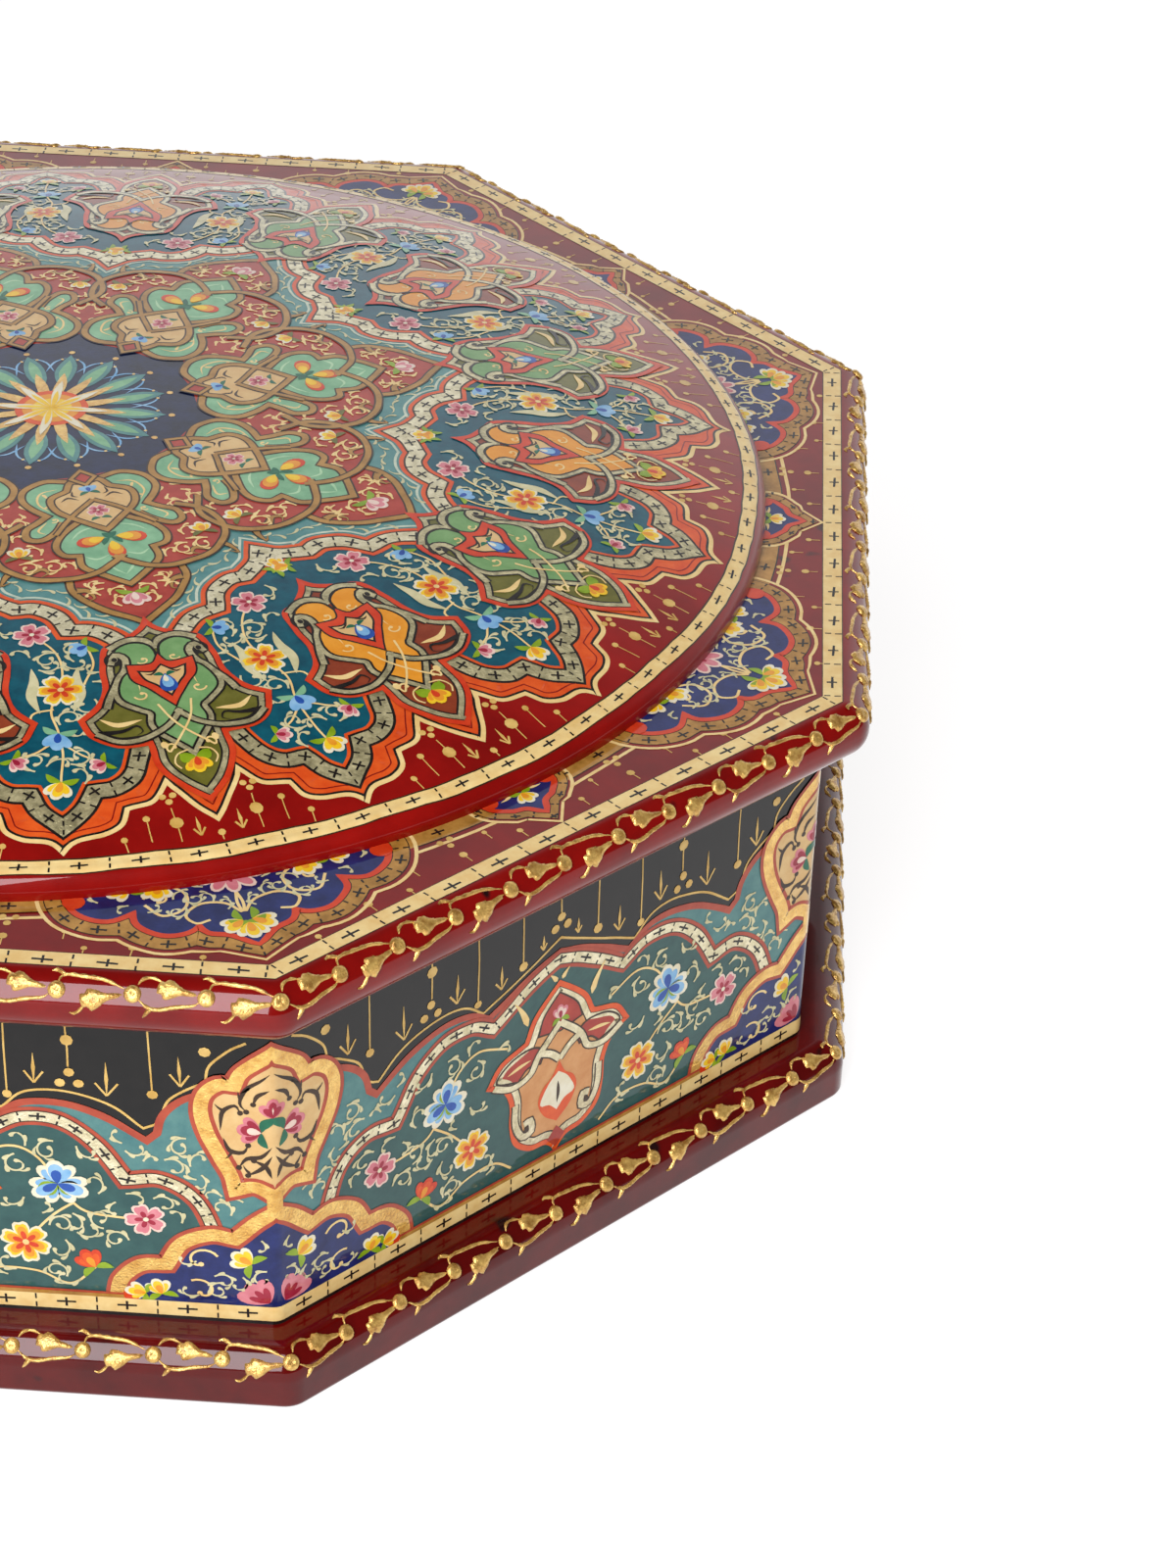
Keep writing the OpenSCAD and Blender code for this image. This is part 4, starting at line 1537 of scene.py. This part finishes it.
# %% [markdown]
# The painting goes onto the box. A hand doesn't repeat itself, so after the copies are set, the whole
# painting drifts a tenth of a millimetre or two, differently everywhere, and always along the
# surface. The normals are those of the true surface, so that the varnish shines evenly over all paints.

# %% Put the painting on the box
CANVAS_RISE = 0.04


def parts_of(mesh):
    """Vertices in millimetres, the corners of all faces, and the number of corners of each."""
    places = np.zeros(len(mesh.vertices) * 3)
    mesh.vertices.foreach_get("co", places)
    corners = np.zeros(len(mesh.loops), int)
    mesh.loops.foreach_get("vertex_index", corners)
    sizes = np.zeros(len(mesh.polygons), int)
    mesh.polygons.foreach_get("loop_total", sizes)
    bpy.data.meshes.remove(mesh)
    return places.reshape(-1, 3) / MM, corners, sizes


def joined(parts):
    """Several meshes in the form that parts_of gives, as one."""
    places, corners, sizes = zip(*parts)
    starts = np.cumsum([0] + [len(these) for these in places])
    corners = [these + start for these, start in zip(corners, starts)]
    return np.vstack(places), np.concatenate(corners), np.concatenate(sizes)


def mesh_from(name, places, corners, sizes, normals=None):
    """A smooth mesh of faces with any number of corners."""
    mesh = bpy.data.meshes.new(name)
    mesh.vertices.add(len(places))
    mesh.vertices.foreach_set("co", (places * MM).astype(np.float32).ravel())
    mesh.loops.add(len(corners))
    mesh.loops.foreach_set("vertex_index", corners.astype(np.int32))
    mesh.polygons.add(len(sizes))
    starts = np.concatenate([[0], np.cumsum(sizes)[:-1]])
    mesh.polygons.foreach_set("loop_start", starts.astype(np.int32))
    mesh.polygons.foreach_set("use_smooth", np.ones(len(sizes), bool))
    mesh.update(calc_edges=True)
    mesh.validate()
    if normals is not None:
        mesh.normals_split_custom_set_from_vertices(normals.astype(np.float32))
    return mesh


def mesh_of(name, places, faces, normals=None):
    """A smooth mesh from vertices and a list of faces."""
    corners = np.array([i for face in faces for i in face])
    return mesh_from(name, places, corners, np.array([len(face) for face in faces]), normals)


def painted(canvas, colour, shift):
    """All shapes of one colour on one canvas, placed on the surface, with outward faces."""
    places, faces = [], []
    start = 0
    outward = (0, -1, 0) if canvas.place is on_wall else (0, 0, 1)
    for points, flat, level in canvas.shapes[colour]:
        at = canvas.place(points, (level + shift) * LAYER)
        for face in flat:
            p = at[list(face)]
            up = np.cross(p, np.roll(p, -1, 0)).sum(0) @ outward
            faces.append([start + i for i in (face if up > 0 else face[::-1])])
        places.append(at)
        start += len(at)
    return mesh_of(canvas.name, np.vstack(places), faces)


def drift(points, reach, seed):
    """Two smooth wandering offsets for each point."""
    rng = np.random.default_rng(seed)
    offset = np.zeros((len(points), 2))
    for length, share in ((38, 0.5), (14, 0.35), (5, 0.15)):
        for axis in (0, 1):
            for _ in range(2):
                way = rng.normal(size=3)
                wave = points @ (way / np.linalg.norm(way)) * TURN / length
                offset[:, axis] += reach * share * np.sin(wave + rng.uniform(0, TURN))
    return offset


def settle_disc(points):
    """The painting on the medallion after its drift, and its normals."""
    lift = points[:, 2] - disc_profile(np.linalg.norm(points[:, :2], axis=1))
    points[:, :2] += drift(points * (1, 1, 0), 0.22, 1)
    r = np.linalg.norm(points[:, :2], axis=1)
    points[:, 2] = disc_profile(r) + lift
    slope = np.clip((disc_profile(r + 0.01) - disc_profile(r - 0.01)) / 0.02, -6, 0)
    aside = [-slope * points[:, axis] / np.maximum(r, 1e-6) for axis in (0, 1)]
    return points, np.stack([*aside, np.ones_like(r)], 1)


def settle_lid(points):
    """The same on the lid's flat border."""
    points[:, :2] += drift(points * (1, 1, 0), 0.16, 2)
    return points, np.tile((0.0, 0.0, 1.0), (len(points), 1))


def settle_wall(points):
    """The same on the walls, where the drift fades out towards the corners, the foot and the crown."""
    side = np.round(np.arctan2(points[:, 0], -points[:, 1]) / SIDE_TURN) * SIDE_TURN
    along_x, along_y = np.cos(side), np.sin(side)
    u = points[:, 0] * along_x + points[:, 1] * along_y
    out = points[:, 0] * along_y - points[:, 1] * along_x
    offset = drift(points, 0.22, 3)
    free = np.clip((points[:, 2] - FOOT - 3) / 4, 0, 1) * np.clip((CROWN - points[:, 2]) / 4, 0, 1)
    points[:, 2] += offset[:, 1] * free
    free = np.clip((ROUND_FROM - 1 - np.abs(u)) / 5, 0, 1)
    shifted = u + offset[:, 0] * free * np.clip((points[:, 2] - FOOT) / 6, 0.2, 1)
    points[:, 0] = shifted * along_x + out * along_y
    points[:, 1] = shifted * along_y - out * along_x
    angle = side + corner_turn(u) * np.sign(u)
    return points, np.stack([np.sin(angle), -np.cos(angle), np.zeros_like(u)], 1)


SETTLE = {on_disc: settle_disc, on_lid: settle_lid, on_wall: settle_wall}


def add_piece(name, mesh, material, body, slot, *nodes):
    """A piece of the visual model that moves with its body."""
    piece = bpy.data.objects.new(name, mesh)
    bpy.context.collection.objects.link(piece)
    mesh.materials.clear()
    mesh.materials.append(material)
    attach(piece, body)
    if nodes:
        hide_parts(*nodes)
    return piece


def hang_painting(label, canvases, body, slot):
    """One piece for each colour used on a body."""
    colours = sorted({colour for canvas in canvases for colour in canvas.shapes})
    triangles = 0
    for colour in colours:
        parts, normals = [], []
        for number, canvas in enumerate(canvases):
            if colour not in canvas.shapes:
                continue
            flat = painted(canvas, colour, number * CANVAS_RISE)
            made = grown(flat, COPIES, Copies=canvas.copies, Turn=canvas.turn, Material=paints[colour])
            places, corners, sizes = parts_of(made)
            places, out = SETTLE[canvas.place](places)
            parts.append((places, corners, sizes))
            normals.append(out)
        out = np.vstack(normals)
        out /= np.linalg.norm(out, axis=1)[:, None]
        name = f"{label}_{colour}"
        places, corners, sizes = joined(parts)
        add_piece(name, mesh_from(name, places, corners, sizes, out), paints[colour], body, slot)
        triangles += int((sizes - 2).sum())
    print(label, len(colours), "colours", triangles, "triangles")


disc_canvases = [medallion, by_side, by_corner, by_tip, rosette, star, rim, ring_cross]
hang_painting("medallion_paint", disc_canvases, "lid", "painted_medallion")
border_canvases = [border, border_corner, border_side, ring_crosses]
hang_painting("border_paint", border_canvases, "lid", "painted_medallion")
hang_painting("wall_paint", [walls], "box", "painted_wall")

# %% [markdown]
# The boards below the painting. Plates are cut as octagons whose edge is rounded by sanding; the
# corners wear rounder than the edges. The medallion's board is turned like a dish upside down.

# %% Boards
def facing(angle):
    """The way out at an angle from the front."""
    return np.array([math.sin(angle), -math.cos(angle)])


def octagon_loop(apothem, radius, arc=7, straight=9):
    """A rounded octagon: points, and for each its outward direction."""
    points, ways = [], []
    for k in range(SIDES):
        middle = HALF_TURN + k * SIDE_TURN
        corner = facing(middle) * (apothem - radius) / math.cos(HALF_TURN)
        for t in np.linspace(-HALF_TURN, HALF_TURN, arc):
            way = facing(middle + t)
            points.append(corner + way * radius)
            ways.append(way)
        way = ways[-1]
        last = points[-1]
        ahead = facing(middle + SIDE_TURN) * (apothem - radius) / math.cos(HALF_TURN) + way * radius
        for t in np.linspace(0, 1, straight + 2)[1:-1]:
            points.append(last + (ahead - last) * t)
            ways.append(way)
    return np.array(points), np.array(ways)


def ring_faces(rings, count, closed=True):
    """Four-sided faces between rings, or rows, of points that follow one another."""
    pairs = [(i, (i + 1) % count) for i in range(count if closed else count - 1)]
    return [
        (k * count + i, k * count + j, (k + 1) * count + j, (k + 1) * count + i)
        for k in range(rings - 1)
        for i, j in pairs
    ]


def arc_profile(centre, radius, start, end, count=12):
    """Points and normals of a rounded edge, angles in degrees from straight out, upwards."""
    angles = np.radians(np.linspace(start, end, count))
    ways = np.stack([np.cos(angles), np.sin(angles)], 1)
    return np.hstack([np.array(centre) + radius * ways, ways])


def swept_plate(name, profile, apothem, radius):
    """A plate whose edge profile (out, up, way out, way up) runs round a rounded octagon."""
    places, normals = [], []
    for out, up, way_out, way_up in profile:
        points, ways = octagon_loop(out, max(0.05, radius - (apothem - out)))
        places.append(np.hstack([points, np.full((len(points), 1), up)]))
        normals.append(np.hstack([ways * way_out, np.full((len(points), 1), way_up)]))
    count = len(places[0])
    faces = ring_faces(len(profile), count)
    faces.append(tuple(range(count))[::-1])
    faces.append(tuple((len(profile) - 1) * count + i for i in range(count)))
    return mesh_of(name, np.vstack(places), faces, np.vstack(normals))


EDGE_WIDTH = 6
LID_ROUND = 3.3
BASE_ROUND = 3.4
BASE_EDGE = BASE_APOTHEM - 0.25
FOOT_ROUND = 0.8
lid_profile = np.vstack(
    [
        [(LID_APOTHEM - EDGE_WIDTH, LID_UNDER, 0, -1)],
        arc_profile((LID_APOTHEM - LID_ROUND, LID_UNDER + LID_ROUND), LID_ROUND, -90, 0),
        arc_profile((LID_APOTHEM - LID_ROUND, LID_TOP - LID_ROUND), LID_ROUND, 0, 90),
        [(LID_APOTHEM - EDGE_WIDTH, LID_TOP, 0, 1)],
    ]
)
base_profile = np.vstack(
    [
        [(BASE_EDGE - EDGE_WIDTH, 0, 0, -1)],
        arc_profile((BASE_EDGE - FOOT_ROUND, FOOT_ROUND), FOOT_ROUND, -90, 0, 6),
        arc_profile((BASE_EDGE - BASE_ROUND, BASE_TOP - BASE_ROUND), BASE_ROUND, 0, 90),
        [(BASE_EDGE - EDGE_WIDTH, BASE_TOP, 0, 1)],
    ]
)
lid_mesh = swept_plate("lid_board", lid_profile, LID_APOTHEM, 4.0)
add_piece("lid_board", lid_mesh, lid_lacquer, "lid", "red_lacquer", "lid_plate")
base_mesh = swept_plate("base_board", base_profile, BASE_EDGE, 3.5)
add_piece("base_board", base_mesh, edge_lacquer, "box", "red_lacquer", "base_plate")


def turned_board(name):
    """The medallion's board, a low body of revolution."""
    radii = np.concatenate([np.linspace(2, 84, 36), np.linspace(84.6, DOME_R, 6)])
    past = SHOULDER_R * np.sin(np.radians(np.linspace(6, 90, 13)))
    radii = np.concatenate([radii, DOME_R + past])
    rings = [(r, float(disc_profile(np.array(r)))) for r in radii]
    slopes = [(disc_profile(r + 0.005) - disc_profile(r - 0.005)) / 0.01 for r in radii[:-1]] + [-1e3]
    ways = [np.array([-s, 1]) / math.hypot(s, 1) for s in slopes]
    rings += [(DISC_FOOT, LID_TOP), (DISC_FOOT - 4, LID_TOP)]
    ways += [np.array([1.0, 0.0]), np.array([0.0, -1.0])]
    angles = TURN * np.arange(AROUND) / AROUND
    turn = np.stack([np.cos(angles), np.sin(angles)], 1)
    places = [np.hstack([turn * r, np.full((AROUND, 1), z)]) for r, z in rings]
    normals = [np.hstack([turn * w[0], np.full((AROUND, 1), w[1])]) for w in ways]
    faces = [tuple(range(AROUND))]
    faces += [(a, d, c, b) for a, b, c, d in ring_faces(len(rings), AROUND)]
    faces.append(tuple((len(rings) - 1) * AROUND + i for i in range(AROUND))[::-1])
    return mesh_of(name, np.vstack(places), faces, np.vstack(normals))


disc_mesh = turned_board("medallion_board")
add_piece("medallion_board", disc_mesh, red_lacquer, "lid", "red_lacquer", "lid_disc")


def wall_board(name, side):
    """One wall, mitred to its neighbours, with the rounded corners of the finished box."""
    turn = side * SIDE_TURN
    outer = across_wall(7)
    inner_half = WALL_INSIDE * math.tan(HALF_TURN)
    ring = on_wall(np.stack([outer, np.zeros(len(outer))], 1), 0)[:, :2]
    lean = corner_turn(outer) * np.sign(outer)
    plan = np.vstack([ring, [(inner_half, -WALL_INSIDE), (-inner_half, -WALL_INSIDE)]])
    spin = np.array([[math.cos(turn), math.sin(turn)], [-math.sin(turn), math.cos(turn)]])
    plan = plan @ spin
    count = len(plan)
    painted_faces = len(outer) - 1
    places = np.vstack([np.hstack([plan, np.full((count, 1), z)]) for z in (FOOT, CROWN)])
    faces = [(i, (i + 1) % count, (i + 1) % count + count, i + count) for i in range(count)]
    faces += [tuple(range(count))[::-1], tuple(range(count, 2 * count))]
    mesh = mesh_of(name, places, faces)
    normals = []
    for number, face in enumerate(faces):
        for i in face:
            if number < painted_faces:
                angle = turn + lean[i % count]
                normals.append((math.sin(angle), -math.cos(angle), 0))
            else:
                p = places[list(face)]
                way = np.cross(p[1] - p[0], p[2] - p[0])
                normals.append(tuple(way / np.linalg.norm(way)))
    mesh.normals_split_custom_set(normals)
    mesh.materials.append(paints["charcoal"])
    mesh.materials.append(black_lacquer)
    bare_faces = len(faces) - painted_faces
    mesh.polygons.foreach_set("material_index", [0] * painted_faces + [1] * bare_faces)
    return mesh


for side in range(SIDES):
    name = f"wall_board_{side + 1}"
    piece = bpy.data.objects.new(name, wall_board(name, side))
    bpy.context.collection.objects.link(piece)
    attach(piece, "box")
    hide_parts(f"wall_panel_{side + 1}")

for node in ["floor_board", "lid_lining"] + [f"collar_strip_{k + 1}" for k in range(SIDES)]:
    inner = bpy.data.objects[node]
    inner.data.materials.clear()
    inner.data.materials.append(black_lacquer)

# %% [markdown]
# A vine in raised gold runs along the round edge of the lid and of the base. The real one is squeezed
# on as thick size and gilded: a bead, a stem that swings from bead to bead, and a leaf on either side
# in turn. Here each element is a small relief mesh, and a second Geometry Nodes tree sets the rows.

# %% Gold vine on the round edges
VINE_BEADS = 11
VINE_MIDDLE = 0.82
DRAWN_PITCH = 7.7
CORNER_BEAD_INSET = 0.18


def sided_rows():
    """Rows of copies along the sides of the box, each shifted a little as a hand would."""
    inputs = [
        ("Row count", "Int", 5),
        ("Pitch", "Float", 0.0155),
        ("Row start", "Float", -0.03),
        ("Sides", "Int", 8),
        ("Turn", "Float", 0.0),
        ("Uneven", "Float", 0.0003),
        ("Seed", "Int", 1),
    ]
    tree, given = new_tree("sided_rows", inputs)

    def sums(operation, *terms):
        return maths(tree, operation, *terms)

    total = sums("MULTIPLY", given["Row count"], given["Sides"])
    spots = wired(tree, "GeometryNodePoints", {"Count": total})
    number = wired(tree, "GeometryNodeInputIndex", {}).outputs[0]
    side = sums("FLOOR", sums("DIVIDE", number, given["Row count"]))
    place = sums("SUBTRACT", number, sums("MULTIPLY", side, given["Row count"]))
    angle = sums("ADD", sums("MULTIPLY", side, sums("DIVIDE", TURN, given["Sides"])), given["Turn"])
    swing = wired(tree, "FunctionNodeRandomValue", {"Seed": given["Seed"]})
    chance = next(socket for socket in swing.outputs if socket.type == "VALUE" and socket.enabled)
    slip = sums("MULTIPLY", sums("SUBTRACT", chance, 0.5), given["Uneven"])
    x = sums("ADD", sums("ADD", given["Row start"], sums("MULTIPLY", place, given["Pitch"])), slip)
    ways = [sums("MULTIPLY", x, sums(name, angle)) for name in ("COSINE", "SINE")]
    spot = wired(tree, "ShaderNodeCombineXYZ", {"X": ways[0], "Y": ways[1]})
    sockets = {"Geometry": spots.outputs[0], "Position": spot.outputs[0]}
    return set_copies(tree, given, wired(tree, "GeometryNodeSetPosition", sockets), angle)


ROWS = sided_rows()
gilt = {"grain": 900.0, "rough": 0.27, "metal": 0.6, "coat": 0.4, "tooth": 0.5}
gilding = varnished("raised_gilding", "#a07030", "#ecc46e", **gilt)


class Relief:
    """Raised shapes in (along, upwards on the round, height) on one straight round edge."""

    def __init__(self, seed):
        self.rng = np.random.default_rng(seed)
        self.points, self.faces = [], []

    def add(self, points, faces):
        """Raised shapes are a little uneven, and their feet stay level."""
        start = sum(len(p) for p in self.points)
        points = np.array(points, float)
        points[:, 2] += self.rng.normal(0, 0.035, len(points)) * (points[:, 2] > 0.05)
        self.points.append(points)
        self.faces += [tuple(start + i for i in face) for face in faces]

    def bead(self):
        """A round bead with a small dent on top."""
        radius, around = 0.96, 14
        rings = ((1.0, -0.06), (0.93, 0.18), (0.7, 0.36), (0.36, 0.42), (0.14, 0.33))
        angles = TURN * np.arange(around) / around
        points = []
        for share, height in rings:
            ring = np.stack([np.cos(angles), np.sin(angles)], 1) * radius * share
            points.append(np.hstack([ring, np.full((around, 1), height)]))
        faces = ring_faces(len(rings), around)
        faces.append(tuple((len(rings) - 1) * around + i for i in range(around)))
        self.add(np.vstack(points), faces)

    def stem(self, line, width, height=0.26):
        """A raised line of uneven thickness that tapers to both ends."""
        path = drawn(line, step=0.3)
        share = along(path) / along(path)[-1]
        swell = np.clip(np.sin(math.pi * np.clip(share, 0.02, 0.98)) ** 0.45, 0.25, 1)
        swell *= 1 + 0.12 * self.rng.normal(size=len(path))
        side = normals_of(path, False)
        points = []
        for across, rise in ((-1, -0.06), (-0.6, 0.75), (0, 1), (0.6, 0.75), (1, -0.06)):
            flat = path + side * (across * width / 2 * swell)[:, None]
            points.append(np.hstack([flat, (rise * height * np.where(rise > 0, swell, 1))[:, None]]))
        self.add(np.vstack(points), ring_faces(len(points), len(path), closed=False))

    def leaf(self, start, end, half, height=0.34):
        """A lobed leaf between two points; half is its right outline, for a length of one."""
        way = np.array(end) - np.array(start)
        lower = drawn(half, step=0.07)
        outline = np.vstack([lower, (lower * (1, -0.85))[-2:0:-1]]) * np.linalg.norm(way)
        outline = moved(outline, start, math.atan2(way[1], way[0]))
        sheet = Canvas("leaf", None, spacing=0.3)
        sheet.fill("gilding", outline, 0)
        points, faces, _ = sheet.shapes["gilding"][0]
        inwards = nearest(points, outline)
        rise = np.where(inwards < 1e-6, -0.06, np.clip(0.12 + inwards * 0.7, 0, height))
        self.add(np.hstack([points, rise[:, None]]), faces)


LOBED = "0 0, 0.15 0.07, 0.4 0.11, 0.62 0.24, 0.78 0.29, 0.86 0.18, 0.97 0.18, 1 0"
vine_above, vine_below, vine_bead = Relief(1), Relief(2), Relief(3)
vine_above.stem("0.1 0.7, 0.4 1.5, 1.2 1.75, 2.8 1.6, 4.8 1.35, 6.9 0.5", 0.5)
vine_above.stem("0.9 1.7, 0.5 1.9, -0.2 2.3, -0.7 2.1", 0.5)
vine_above.leaf((6.9, -0.1), (2.4, -1.0), LOBED)
vine_above.stem("3 -1.3, 2.5 -2, 1.9 -2.5, 1.4 -2.4", 0.4)
vine_below.stem("0.7 -0.5, 1.7 -1.3, 2.8 -1.5, 4.8 -1.1, 6.3 -0.9, 7 -0.5", 0.5)
vine_below.stem("2.3 -1.4, 1.8 -1.7, 1.4 -2.3, 1.2 -2.5", 0.52)
vine_below.leaf((6.9, 0.2), (2.6, 1.0), LOBED)
vine_below.stem("3 1.5, 2 1.9, 1.1 1.7, 0.6 1", 0.4)
vine_bead.bead()


def on_edge(points, apothem, top, radius):
    """Where a relief point lies on a round edge whose side faces the front."""
    angle = VINE_MIDDLE - points[:, 1] / radius
    out = apothem - radius + (radius + points[:, 2]) * np.sin(angle)
    return np.stack([points[:, 0], -out, top - radius + (radius + points[:, 2]) * np.cos(angle)], 1)


def add_vine(name, apothem, top, radius, body, slot):
    """Beads, stems and leaves along all sides of one edge, as one piece."""
    half = (apothem - radius * (1 - math.sin(VINE_MIDDLE))) * math.tan(HALF_TURN)
    pitch = 2 * half / VINE_BEADS
    rows = (
        (vine_bead, VINE_BEADS - 1, pitch, pitch - half, SIDES, 0),
        (vine_above, 6, 2 * pitch, -half, SIDES // 2, 0),
        (vine_below, 5, 2 * pitch, pitch - half, SIDES // 2, 0),
        (vine_below, 6, 2 * pitch, -half, SIDES // 2, SIDE_TURN),
        (vine_above, 5, 2 * pitch, pitch - half, SIDES // 2, SIDE_TURN),
    )

    def bent(relief, squeeze=1.0):
        points = np.vstack(relief.points) * (squeeze, 1, 1)
        return mesh_of(name, on_edge(points, apothem, top, radius), relief.faces)

    parts = []
    for number, (relief, count, step, first, sides, turn) in enumerate(rows):
        flat = bent(relief, 1.0 if relief is vine_bead else pitch / DRAWN_PITCH)
        row = {"Row_count": count, "Pitch": step * MM, "Row_start": first * MM, "Sides": sides}
        row |= {"Turn": turn, "Uneven": 0.0004, "Seed": number, "Material": gilding}
        parts.append(parts_of(grown(flat, ROWS, **row)))
    corner = bent(vine_bead)
    out = half / math.sin(HALF_TURN) - half / math.tan(HALF_TURN) - CORNER_BEAD_INSET
    corner.transform(Matrix.Translation((0, -out * MM, 0)))
    parts.append(parts_of(grown(corner, COPIES, Copies=SIDES, Turn=HALF_TURN, Material=gilding)))
    mesh = mesh_from(name, *joined(parts))
    add_piece(name, mesh, gilding, body, slot)
    print(name, len(mesh.polygons), "faces, pitch", round(pitch, 2))


add_vine("lid_vine", LID_APOTHEM, LID_TOP, LID_ROUND, "lid", "painted_medallion")
add_vine("base_vine", BASE_EDGE, BASE_TOP, BASE_ROUND, "box", "painted_wall")
